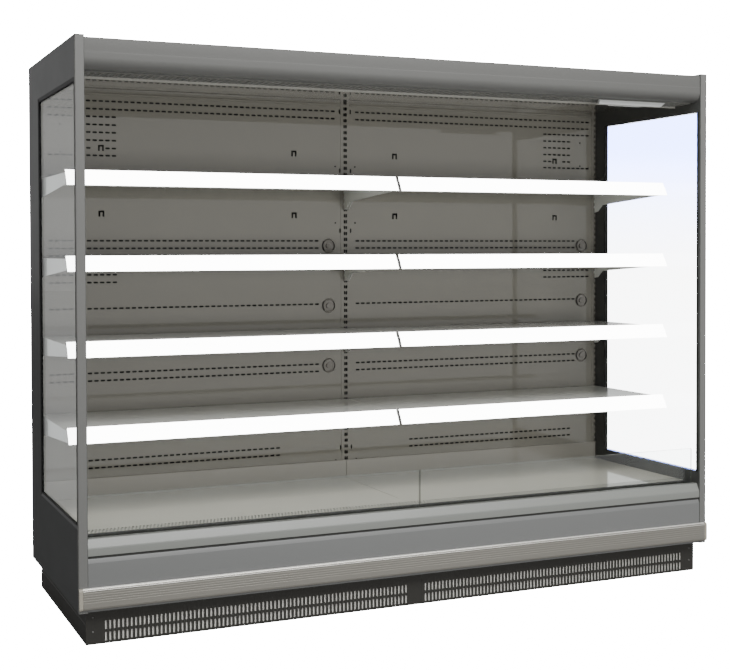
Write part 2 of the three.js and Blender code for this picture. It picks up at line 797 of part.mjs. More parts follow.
// ---------------------------------------------------------------- base frame and feet
const frameHalf = plinthHalf - sheet - plinthBeadDepth - gap;
const frameTop = tubFloorBottom - gap;
const frameFront = kickY + kickReturn + gap;
const frameRear = rear - backWallThick - gap;
const trayTop = frameBottom + frameWeb;
const footPlaces = [
  ['front_left', -1, frameFront + footInset], ['front_right', 1, frameFront + footInset],
  ['rear_left', -1, frameRear - footInset], ['rear_right', 1, frameRear - footInset],
];
const footX = frameHalf - frameChannelWidth / 2;

function cylinder(radius, z0, z1, x, y, segments) {
  return new THREE.CylinderGeometry(radius, radius, z1 - z0, segments)
    .rotateX(Math.PI / 2).translate(x, y, (z0 + z1) / 2);
}

function baseFrame() {
  const channel = (x0, open) => {
    const x1 = x0 + frameChannelWidth;
    const web = open > 0 ? [x0, x0 + frameWeb] : [x1 - frameWeb, x1];
    return join(
      boxSolid(...web, frameFront, frameRear, frameBottom, frameTop),
      boxSolid(x0, x1, frameFront, frameRear, frameBottom, trayTop),
      boxSolid(x0, x1, frameFront, frameRear, frameTop - frameWeb, frameTop));
  };
  const middle = boxSolid(-frameWeb, frameWeb, frameFront + frameWeb / 2, frameRear - frameWeb, frameBottom,
    frameTop - frameWeb / 2);
  // angle rails; the front one comes down to the fold of the kick plates, which are screwed to it
  const rails = [
    [frameFront, frameFront + frameRail, plinthTop - sheet],
    [frameRear - frameRail, frameRear, frameTop - frameRail],
  ].map(([y0, y1, low]) => join(
    boxSolid(-frameHalf, frameHalf, y0, y1, frameTop - frameWeb, frameTop),
    boxSolid(-frameHalf, frameHalf, y0, y0 + frameWeb, low, frameTop)));
  const machineTray = boxSolid(0, frameHalf - frameWeb, frameFront, frameRear, frameBottom, trayTop);
  const holes = footPlaces.map(([, side, y]) =>
    solid(cylinder(footStud + footHoleGap, frameBottom - 1, trayTop + 1, side * footX, y, 8)));
  return cut(join(
    channel(-frameHalf, 1), channel(frameHalf - frameChannelWidth, -1), middle,
    ...rails, machineTray), ...holes);
}
placeSolid('base_frame', baseFrame(), galvanised);

function foot(side, y) {
  // disc, lock nut under the frame, and the stud that goes up through it
  const profile = [
    [0, 0], [footDisc, 0], [footDisc, footDiscEdge], [footStud, footDiscEdge + footNeck],
    [footStud, frameBottom - footNutHeight], [footNut, frameBottom - footNutHeight],
    [footNut, frameBottom - gap], [footStud, frameBottom - gap],
    [footStud, trayTop + footThread], [0, trayTop + footThread],
  ].map(([r, z]) => new THREE.Vector2(r, z));
  return new THREE.LatheGeometry(profile, 8).rotateX(Math.PI / 2).translate(side * footX, y, 0);
}
for (const [name, side, y] of footPlaces) place(`foot_${name}`, foot(side, y), blackMetal);

// ---------------------------------------------------------------- cooling
function finnedBlock(x0, x1, y0, y1, z0, z1, fins, reach) {
  // comb outline: fins stand out of a solid tube block on both faces
  const pitch = (x1 - x0 - finThick) / (fins - 1);
  const near = [];
  const far = [];
  for (let i = 0; i < fins; i += 1) {
    const a = x0 + i * pitch;
    const b = a + finThick;
    near.push([a, y0 + (i ? reach : 0)], [a, y0], [b, y0], [b, y0 + (i < fins - 1 ? reach : 0)]);
    far.push([a, y1 - (i ? reach : 0)], [a, y1], [b, y1], [b, y1 - (i < fins - 1 ? reach : 0)]);
  }
  const outline = [...near, ...far.reverse()].filter(([u, v], i, all) => {
    const [pu, pv] = all[(i + all.length - 1) % all.length];
    return Math.hypot(u - pu, v - pv) > 1e-6;
  });
  return alongZ(outline, z0, z1);
}

const coilRear = rear - backWallThick - coilSetback;
const coilBase = tubFloorTop + gap;
const fanPlateTop = deckHeight - sheet - gap;                 // the trays rest on it and on the coil
const coilHeight = fanPlateTop - coilBase;
place('evaporator', finnedBlock(-coilLength / 2, coilLength / 2, coilRear - coilDepth, coilRear,
  coilBase, coilBase + coilHeight, coilFins, coilFinReach), aluminium);

// Axial rotor about a horizontal axis along Y: hub and pitched blades.
function fanRotor(x, y, z, radius) {
  const hub = solid(new THREE.CylinderGeometry(fanHubRadius, fanHubRadius, fanHubLength, 12));
  let rotor = hub;
  const reach = radius - fanTipGap;
  for (let k = 0; k < fanBlades; k += 1) {
    const blade = new THREE.BoxGeometry(reach - fanHubRadius + fanBladeRoot, fanBladeThick, fanBladeDepth);
    blade.rotateX(THREE.MathUtils.degToRad(fanPitchAngle));
    blade.translate((reach + fanHubRadius - fanBladeRoot) / 2, 0, 0);
    blade.rotateY(2 * Math.PI * k / fanBlades);
    rotor = rotor.add(solid(blade));
  }
  return solid(geometryOf(rotor).translate(x, y, z));
}

// Round opening in an (x, z) plate.
const roundHole = (x, z, radius, segments = 20) => arc(x, z, radius, 0, 360, segments).slice(0, -1);

// Fan motor on three arms, behind an opening in a plate; the shaft side faces -Y.
function motorMount(x, z, plateRear, motorFront, radius) {
  const motor = solid(new THREE.CylinderGeometry(motorRadius, motorRadius, motorLength, 10)
    .translate(x, motorFront + motorLength / 2, z));
  const arms = motorArmAngles.map((degrees) => {
    const arm = new THREE.BoxGeometry(radius + motorArmPast, motorArm, motorArm)
      .translate((radius + motorArmPast) / 2, 0, 0)
      .rotateY(-THREE.MathUtils.degToRad(degrees))
      .translate(x, motorFront + motorLength / 2, z);
    return solid(arm);
  });
  const tips = motorArmAngles.map((degrees) => {
    const a = THREE.MathUtils.degToRad(degrees);
    const half = motorArm / 2;
    const tx = x + (radius + motorArmPast) * Math.cos(a);
    const tz = z + (radius + motorArmPast) * Math.sin(a);
    return boxSolid(tx - half, tx + half, plateRear - sheet / 2, motorFront + motorLength / 2 + half,
      tz - half, tz + half);
  });
  return join(motor, ...arms, ...tips);
}

const fanPlateY = front + fanPlateSetback;
const evapFanX = bayPitch / 2;
const evapFanZ = (tubFloorTop + fanPlateTop) / 2;
const hubRear = fanPlateY + sheet / 2 + fanHubLength / 2;

function fanPlate() {
  const holes = [-evapFanX, evapFanX].map((x) => roundHole(x, evapFanZ, evapFanRadius));
  const plate = pierce(alongY, rectangle(-bodyEnd, bodyEnd, tubFloorTop + gap, fanPlateTop),
    fanPlateY, fanPlateY + sheet, holes);
  const fold = boxSolid(-bodyEnd, bodyEnd, fanPlateY + sheet / 2, fanPlateY + fanPlateFold, tubFloorTop + gap,
    tubFloorTop + gap + sheet);
  const mounts = [-evapFanX, evapFanX].map((x) =>
    motorMount(x, evapFanZ, fanPlateY + sheet, hubRear + gap, evapFanRadius));
  return join(plate, fold, ...mounts);
}
placeSolid('fan_plate', fanPlate(), galvanised);
for (const [name, side] of sides) {
  placeSolid(`evaporator_fan_${name}`, fanRotor(side * evapFanX, fanPlateY + sheet / 2, evapFanZ, evapFanRadius),
    blackPlastic);
}

const condenserFront = front + condenserSetback;
const condenserBase = trayTop + gap;
const condenserRear = condenserFront + condenserDepth;
const condFanZ = condenserBase + condenserHeight / 2;
const condFanY = condenserRear + shroudDepth;

function condenser() {
  const x0 = condenserX - condenserWidth / 2;
  const x1 = condenserX + condenserWidth / 2;
  const z1 = condenserBase + condenserHeight;
  const block = solid(finnedBlock(x0, x1, condenserFront, condenserRear, condenserBase, z1, condenserFins,
    condenserFinReach));
  const shroudBox = boxSolid(x0, x1, condenserRear - condenserFinReach / 2, condFanY + sheet, condenserBase, z1);
  const hollow = boxSolid(x0 + shroudWall, x1 - shroudWall, condenserRear, condFanY,
    condenserBase + shroudWall, z1 - shroudWall);
  const opening = solid(alongY(roundHole(condenserX, condFanZ, condFanRadius), condFanY - past,
    condFanY + sheet + past));
  const shroud = cut(shroudBox, hollow, opening);
  const motorFront = condFanY + sheet / 2 + fanHubLength / 2 + gap;
  return join(block, shroud, motorMount(condenserX, condFanZ, condFanY + sheet, motorFront, condFanRadius));
}
placeSolid('condenser', condenser(), aluminium);
placeSolid('condenser_fan', fanRotor(condenserX, condFanY + sheet / 2, condFanZ, condFanRadius), blackPlastic);

function compressor() {
  // low horizontal rotary compressor on two saddle feet
  const r = compressorRadius;
  const half = compressorLength / 2;
  // domed ends: quarter ellipses from the axis out to the barrel
  const end = arc(0, 0, 1, 0, 90, 3).map(([c, d]) => [r * d, half - compressorDome * (1 - c)]);
  const profile = [...end.map(([a, b]) => [a, -b]), ...end.reverse()];
  const shell = solid(new THREE.LatheGeometry(profile.map(([a, b]) => new THREE.Vector2(a, b)), 16)
    .rotateZ(-Math.PI / 2).translate(compressorX, compressorY, trayTop + compressorFootHeight + r + gap));
  const saddle = (x) => {
    const z0 = trayTop + gap;
    const z1 = z0 + saddleHeight;
    const edge = z0 + saddleEdge;
    const narrow = r * saddleNarrow;
    return solid(alongX([[compressorY - r, z0], [compressorY + r, z0], [compressorY + r, edge],
      [compressorY + narrow, z1], [compressorY - narrow, z1], [compressorY - r, edge]],
    x - saddleWidth / 2, x + saddleWidth / 2));
  };
  return join(shell, saddle(compressorX - half / 2), saddle(compressorX + half / 2));
}
placeSolid('compressor', compressor(), blackMetal);

export default part;
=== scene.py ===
"""Looks of the open multideck display fridge: sheet-metal skins, glass, lamp, grilles and finishes."""
import math

import bpy
import numpy as np
from mathutils import Matrix, Vector


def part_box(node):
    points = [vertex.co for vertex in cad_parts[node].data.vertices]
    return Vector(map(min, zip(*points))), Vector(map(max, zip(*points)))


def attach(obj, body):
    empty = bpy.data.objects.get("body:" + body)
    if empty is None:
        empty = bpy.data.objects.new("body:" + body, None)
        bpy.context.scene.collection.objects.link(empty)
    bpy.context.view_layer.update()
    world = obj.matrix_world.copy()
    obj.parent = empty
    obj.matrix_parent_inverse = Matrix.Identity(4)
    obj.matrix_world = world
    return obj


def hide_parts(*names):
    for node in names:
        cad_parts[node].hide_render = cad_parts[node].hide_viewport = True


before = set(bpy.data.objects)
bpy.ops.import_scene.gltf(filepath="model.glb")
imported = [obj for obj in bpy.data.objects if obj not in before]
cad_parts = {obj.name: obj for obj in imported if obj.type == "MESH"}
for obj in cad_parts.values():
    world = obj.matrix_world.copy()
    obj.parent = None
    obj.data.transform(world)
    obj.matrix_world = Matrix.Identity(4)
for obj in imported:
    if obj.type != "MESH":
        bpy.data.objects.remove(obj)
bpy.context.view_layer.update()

MM = 0.001
SHEET = 2 * MM
SIDES = (("left", -1), ("right", 1))
CABINET = "cabinet"
WHITE = (1, 1, 1, 1)

# ---------------------------------------------------------------- camera
PHOTO_WIDTH, PHOTO_HEIGHT = 730, 670
FOCAL_PIXELS = 1313.0
CENTRE_PIXEL = (378.74, 279.86)
CAMERA_PLACE = Vector((-2.1447, -4.8034, 1.3240))
YAW, PITCH, ROLL = 0.4220, -0.0220, -0.0028
SENSOR = 36.0
CAMERA_REACH = 100


def set_camera():
    """The camera looks along yaw and pitch; right and up are turned about that line by the roll."""
    ahead = Vector((math.sin(YAW) * math.cos(PITCH), math.cos(YAW) * math.cos(PITCH), math.sin(PITCH)))
    level = Vector((math.cos(YAW), -math.sin(YAW), 0))
    above = level.cross(ahead)
    right = level * math.cos(ROLL) + above * math.sin(ROLL)
    up = above * math.cos(ROLL) - level * math.sin(ROLL)
    data = bpy.data.cameras.new("camera")
    data.sensor_fit = "HORIZONTAL"
    data.sensor_width = SENSOR
    data.lens = FOCAL_PIXELS / PHOTO_WIDTH * SENSOR
    data.shift_x = (PHOTO_WIDTH / 2 - CENTRE_PIXEL[0]) / PHOTO_WIDTH
    data.shift_y = (CENTRE_PIXEL[1] - PHOTO_HEIGHT / 2) / PHOTO_WIDTH
    data.clip_end = CAMERA_REACH
    camera = bpy.data.objects.new("camera", data)
    axes = Matrix((right, up, -ahead)).transposed()
    camera.matrix_world = Matrix.Translation(CAMERA_PLACE) @ axes.to_4x4()
    bpy.context.scene.collection.objects.link(camera)
    bpy.context.scene.camera = camera


# ---------------------------------------------------------------- shader nodes
def math_node(tree, operation, *inputs):
    """The output of a Math node; each input is a number or another node's output."""
    node = tree.nodes.new("ShaderNodeMath")
    node.operation = operation
    for socket, value in zip(node.inputs, inputs):
        if isinstance(value, (int, float)):
            socket.default_value = value
        else:
            tree.links.new(value, socket)
    return node.outputs[0]


def color_mix(tree, factor, first, second):
    """The output of a colour Mix node between two colours; factor is another node's output."""
    node = tree.nodes.new("ShaderNodeMix")
    node.data_type = "RGBA"
    start, end = [socket for socket in node.inputs if socket.type == "RGBA"]
    start.default_value, end.default_value = first, second
    tree.links.new(factor, node.inputs[0])
    return next(socket for socket in node.outputs if socket.type == "RGBA")


def place_group(tree, group, **values):
    """A shader group placed in a material, with its own values on the group's sockets."""
    node = tree.nodes.new("ShaderNodeGroup")
    node.node_tree = group
    for socket, value in values.items():
        node.inputs[socket].default_value = value
    return node


def mirrored_level(tree, mirrored):
    """A level that only sharp mirror images see, as in glass or a clear coat: 0 for every other ray."""
    path = tree.nodes.new("ShaderNodeLightPath")
    sharp = math_node(tree, "MULTIPLY", path.outputs["Is Glossy Ray"], path.outputs["Is Singular Ray"])
    return math_node(tree, "MULTIPLY", sharp, mirrored)


def seen_by_camera(tree):
    """1 where the camera looks, straight or through glass; 0 for light that lands on the fridge or mirrors in
    it: the camera ray, plus a transmission ray before any diffuse or glossy bounce."""
    path = tree.nodes.new("ShaderNodeLightPath")
    bounces = math_node(tree, "ADD", path.outputs["Diffuse Depth"], path.outputs["Glossy Depth"])
    direct = math_node(tree, "LESS_THAN", bounces, 0.5)
    return math_node(tree, "MULTIPLY_ADD", direct, path.outputs["Is Transmission Ray"],
                     path.outputs["Is Camera Ray"])


# ---------------------------------------------------------------- light and floor
ROOM_LIGHT = 0.45                            # the room's light on the fridge
BACKDROP = 24.0                              # the backdrop's strength for the camera
MIRRORED_ROOM, MIRRORED_FLOOR = 0.65, 0.9    # what sharp mirror images see of the room and of the floor
SKY = (0.21, 0.27, 0.67, 1)                  # the backdrop's upper part as seen through glass
SKY_FROM, SKY_TO = -0.03, 0.08               # where it fades in, as the height of the line of sight
LAMPS = {                                    # place, target, size and power of each
    "key": ((0.4, -3.8, 4.3), (0.2, -0.3, 0.9), (4.2, 2.0), 350),
    "low": ((0.9, -5.8, 1.0), (0.3, 0, 0.7), (4.0, 1.4), 225),
    "side": ((-5.6, 0.4, 1.5), (-1.2, 0.1, 1.3), (1.0, 2.0), 60),
}
MIRRORED_LAMP = "key"                        # the only lamp that mirrors in the fridge
FLOOR_HALF = 40.0
FLOOR_UNDER = -0.5 * MM


def hang_lamp(name, place, target, size, power):
    """A rectangular soft lamp at place, turned to face target. Its image isn't seen through glass."""
    data = bpy.data.lights.new(name, "AREA")
    data.shape = "RECTANGLE"
    data.size, data.size_y = size
    data.energy = power
    lamp = bpy.data.objects.new(name, data)
    place = Vector(place)
    facing = (Vector(target) - place).to_track_quat("-Z", "Y").to_matrix().to_4x4()
    lamp.matrix_world = Matrix.Translation(place) @ facing
    bpy.context.scene.collection.objects.link(lamp)
    lamp.visible_glossy = name == MIRRORED_LAMP
    lamp.visible_transmission = False


def set_light():
    """White backdrop for the camera, a dimmer grey room for everything else, and large soft lamps in front.
    Seen through glass, the backdrop turns pale blue with the height of the line of sight."""
    world = bpy.data.worlds.new("studio")
    world.use_nodes = True
    tree = world.node_tree
    background = tree.nodes["Background"]
    seen = seen_by_camera(tree)
    shown = math_node(tree, "MULTIPLY_ADD", seen, BACKDROP - ROOM_LIGHT, ROOM_LIGHT)
    strength = math_node(tree, "ADD", shown, mirrored_level(tree, MIRRORED_ROOM))
    tree.links.new(strength, background.inputs["Strength"])
    path = tree.nodes.new("ShaderNodeLightPath")
    way = tree.nodes.new("ShaderNodeTexCoord")
    parts = tree.nodes.new("ShaderNodeSeparateXYZ")
    tree.links.new(way.outputs["Generated"], parts.inputs[0])
    height = tree.nodes.new("ShaderNodeMapRange")
    height.inputs["From Min"].default_value = SKY_FROM
    height.inputs["From Max"].default_value = SKY_TO
    height.interpolation_type = "SMOOTHSTEP"
    tree.links.new(parts.outputs["Z"], height.inputs["Value"])
    through = math_node(tree, "MULTIPLY", path.outputs["Is Transmission Ray"], seen)
    blue = math_node(tree, "MULTIPLY", through, height.outputs[0])
    tree.links.new(color_mix(tree, blue, WHITE, SKY), background.inputs["Color"])
    bpy.context.scene.world = world
    for name, settings in LAMPS.items():
        hang_lamp(name, *settings)


def lay_floor():
    """A pale floor far larger than the fridge, just under its feet."""
    corners = [(-1, -1), (1, -1), (1, 1), (-1, 1)]
    data = bpy.data.meshes.new("floor")
    data.from_pydata([(x * FLOOR_HALF, y * FLOOR_HALF, FLOOR_UNDER) for x, y in corners], [], [(0, 1, 2, 3)])
    floor = bpy.data.objects.new("floor", data)
    bpy.context.scene.collection.objects.link(floor)
    floor.data.materials.append(FINISH["floor"])


# ---------------------------------------------------------------- finishes
FACING_COSINE = 0.65              # a face looks in a direction where its normal is less than 49 degrees off
TONE_SCALE = 2.5
BUMP_DEPTH = 0.4 * MM


def linear(red, green, blue):
    """An sRGB colour, 0 to 255, as linear RGBA."""
    def channel(value):
        """The sRGB curve: a straight line near black, and a power of 2.4 above it."""
        value = value / 255
        return value / 12.92 if value <= 0.04045 else ((value + 0.055) / 1.055) ** 2.4
    return (channel(red), channel(green), channel(blue), 1.0)


def new_group(name, inputs, outputs):
    """An empty shader group with named sockets; inputs are (name, type, default)."""
    group = bpy.data.node_groups.new(name, "ShaderNodeTree")
    for socket, kind, default in inputs:
        made = group.interface.new_socket(socket, in_out="INPUT", socket_type=kind)
        made.default_value = default
    for socket, kind in outputs:
        group.interface.new_socket(socket, in_out="OUTPUT", socket_type=kind)
    return group, group.nodes.new("NodeGroupInput"), group.nodes.new("NodeGroupOutput")


def noise_on_object(group, stretch, scale_socket, detail=3.0):
    """The level of a noise on the object's own coordinates, stretched along X, Y and Z."""
    nodes, links = group.nodes, group.links
    place = nodes.new("ShaderNodeTexCoord")
    mapping = nodes.new("ShaderNodeMapping")
    mapping.inputs["Scale"].default_value = stretch
    noise = nodes.new("ShaderNodeTexNoise")
    noise.inputs["Detail"].default_value = detail
    links.new(place.outputs["Object"], mapping.inputs["Vector"])
    links.new(mapping.outputs["Vector"], noise.inputs["Vector"])
    links.new(scale_socket, noise.inputs["Scale"])
    return noise.outputs["Fac"]


def make_tone_group():
    """Tone: a colour made slightly darker and lighter in soft clouds, as thin paint and handling do."""
    group, given, result = new_group(
        "tone", [("Color", "NodeSocketColor", WHITE), ("Amount", "NodeSocketFloat", 0.05),
                 ("Scale", "NodeSocketFloat", 3.0)], [("Color", "NodeSocketColor")])
    noise = noise_on_object(group, (1, 1, 1), given.outputs["Scale"])
    cloud = math_node(group, "SUBTRACT", noise, 0.5)
    level = math_node(group, "MULTIPLY_ADD", cloud, given.outputs["Amount"], 1.0)
    tint = group.nodes.new("ShaderNodeVectorMath")
    tint.operation = "SCALE"
    group.links.new(given.outputs["Color"], tint.inputs[0])
    group.links.new(level, tint.inputs["Scale"])
    group.links.new(tint.outputs["Vector"], result.inputs["Color"])
    return group


def make_peel_group():
    """Peel: the fine pebbled height of powder coat, and a slower wave of the sheet under it."""
    group, given, result = new_group(
        "peel", [("Grain", "NodeSocketFloat", 700.0), ("Wave", "NodeSocketFloat", 2.0)],
        [("Height", "NodeSocketFloat")])
    grain = noise_on_object(group, (1, 1, 1), given.outputs["Grain"], 2.0)
    wave = noise_on_object(group, (0.5, 1, 1), given.outputs["Wave"], 1.0)
    group.links.new(math_node(group, "MULTIPLY_ADD", wave, 3.0, grain), result.inputs["Height"])
    return group


def make_smear_group():
    """Smear: roughness that swings about a middle value in soft patches, as on wiped paint."""
    group, given, result = new_group(
        "smear", [("Middle", "NodeSocketFloat", 0.4), ("Swing", "NodeSocketFloat", 0.08),
                  ("Scale", "NodeSocketFloat", 6.0)], [("Roughness", "NodeSocketFloat")])
    noise = noise_on_object(group, (1, 1, 1.6), given.outputs["Scale"], 4.0)
    patch = math_node(group, "SUBTRACT", noise, 0.5)
    rough = math_node(group, "MULTIPLY_ADD", patch, given.outputs["Swing"], given.outputs["Middle"])
    rough.node.use_clamp = True
    group.links.new(rough, result.inputs["Roughness"])
    return group


def make_brush_group():
    """Brush: fine lines along X, as on drawn or anodised aluminium."""
    group, given, result = new_group(
        "brush", [("Scale", "NodeSocketFloat", 1.0)], [("Height", "NodeSocketFloat")])
    group.links.new(noise_on_object(group, (3, 900, 900), given.outputs["Scale"]), result.inputs["Height"])
    return group


def make_facing_group():
    """Facing: 1 on faces that look in a direction, 0 elsewhere."""
    group, given, result = new_group(
        "facing", [("Direction", "NodeSocketVector", (0, 0, 1))], [("Mask", "NodeSocketFloat")])
    face = group.nodes.new("ShaderNodeNewGeometry")
    along = group.nodes.new("ShaderNodeVectorMath")
    along.operation = "DOT_PRODUCT"
    group.links.new(face.outputs["Normal"], along.inputs[0])
    group.links.new(given.outputs["Direction"], along.inputs[1])
    mask = math_node(group, "GREATER_THAN", along.outputs["Value"], FACING_COSINE)
    group.links.new(mask, result.inputs["Mask"])
    return group


def painted(name, color, rough=0.4, swing=0.08, tone=0.05, grain=700.0, bump=0.05, metallic=0.0, coat=0.0,
            brushed=False, specular=0.5, other=None, coat_rough=0.06):
    """Paint, metal or plastic: toned colour, smeared roughness, a fine bump and a clear coat.
    other is (direction, colour): faces that look that way take that colour, as painted light or shade on one
    side."""
    material = bpy.data.materials.new(name)
    material.use_nodes = True
    tree = material.node_tree
    shader = tree.nodes["Principled BSDF"]
    shader.inputs["Metallic"].default_value = metallic
    shader.inputs["Specular IOR Level"].default_value = specular
    shader.inputs["Coat Weight"].default_value = coat
    shader.inputs["Coat Roughness"].default_value = coat_rough
    toned = place_group(tree, TONE, Color=linear(*color), Amount=tone, Scale=TONE_SCALE)
    tree.links.new(toned.outputs["Color"], shader.inputs["Base Color"])
    if other:
        direction, second = other
        facing = place_group(tree, FACING, Direction=direction)
        mixed = color_mix(tree, facing.outputs["Mask"], linear(*color), linear(*second))
        tree.links.new(mixed, toned.inputs["Color"])
    smeared = place_group(tree, SMEAR, Middle=rough, Swing=swing)
    tree.links.new(smeared.outputs["Roughness"], shader.inputs["Roughness"])
    height = place_group(tree, BRUSH) if brushed else place_group(tree, PEEL, Grain=grain)
    relief = tree.nodes.new("ShaderNodeBump")
    relief.inputs["Strength"].default_value = bump
    relief.inputs["Distance"].default_value = BUMP_DEPTH
    tree.links.new(height.outputs["Height"], relief.inputs["Height"])
    tree.links.new(relief.outputs["Normal"], shader.inputs["Normal"])
    return material


def clear(name, color, index, gloss):
    """Glass that bends what is behind it, tints it faintly and lets shadow rays through.
    gloss is the share of the light that it mirrors."""
    material = bpy.data.materials.new(name)
    material.use_nodes = True
    tree = material.node_tree
    nodes, links = tree.nodes, tree.links
    shine = nodes["Principled BSDF"]
    shine.inputs["Metallic"].default_value = 1.0
    shine.inputs["Base Color"].default_value = WHITE
    shine.inputs["Roughness"].default_value = 0.0
    toned = place_group(tree, TONE, Color=linear(*color), Amount=0.02)
    through = nodes.new("ShaderNodeBsdfRefraction")
    through.inputs["IOR"].default_value = index
    through.inputs["Roughness"].default_value = 0.0
    links.new(toned.outputs["Color"], through.inputs["Color"])
    open_way = nodes.new("ShaderNodeBsdfTransparent")
    links.new(toned.outputs["Color"], open_way.inputs["Color"])
    path = nodes.new("ShaderNodeLightPath")
    bent = nodes.new("ShaderNodeMixShader")
    links.new(path.outputs["Is Shadow Ray"], bent.inputs[0])
    links.new(through.outputs[0], bent.inputs[1])
    links.new(open_way.outputs[0], bent.inputs[2])
    whole = nodes.new("ShaderNodeMixShader")
    whole.inputs[0].default_value = gloss
    links.new(bent.outputs[0], whole.inputs[1])
    links.new(shine.outputs[0], whole.inputs[2])
    links.new(whole.outputs[0], nodes["Material Output"].inputs["Surface"])
    return material


def glow(material, color, strength, direction, mirrored=0.0):
    """Adds light of its own to a finish, on faces that look in a direction. Nothing else is lit by it:
    the camera sees strength, straight or through glass, and sharp mirror images see mirrored."""
    tree = material.node_tree
    facing = place_group(tree, FACING, Direction=direction)
    seen = math_node(tree, "MULTIPLY_ADD", seen_by_camera(tree), strength, mirrored_level(tree, mirrored))
    level = math_node(tree, "MULTIPLY", facing.outputs["Mask"], seen)
    shader = tree.nodes["Principled BSDF"]
    shader.inputs["Emission Color"].default_value = linear(*color)
    tree.links.new(level, shader.inputs["Emission Strength"])
    return material


TONE = make_tone_group()
PEEL = make_peel_group()
SMEAR = make_smear_group()
BRUSH = make_brush_group()
FACING = make_facing_group()

UP, FORWARD = (0, 0, 1), (0, -1, 0)
LEFT, RIGHT = (-1, 0, 0), (1, 0, 0)
UP_LEFT = (-0.707, 0, 0.707)      # near enough to both for a face that looks up or to the left, where the shelves take their painted light
RAIL_GLOW_FACING = (0, -0.88, 0.47)      # the label rails lean back, so that they face a little upwards; faces that look this way take the rails' painted glow
# One charcoal paint in two copies, set for how light falls on each side of the end walls:
# the outer faces painted darker as painted shade, the inner faces painted lighter as painted light.
WALL_OUTSIDE_SHADED = (53, 54, 54)
WALL_INSIDE_LIGHTENED = (70, 71, 69)
SHEET_GREY = (196, 197, 195)

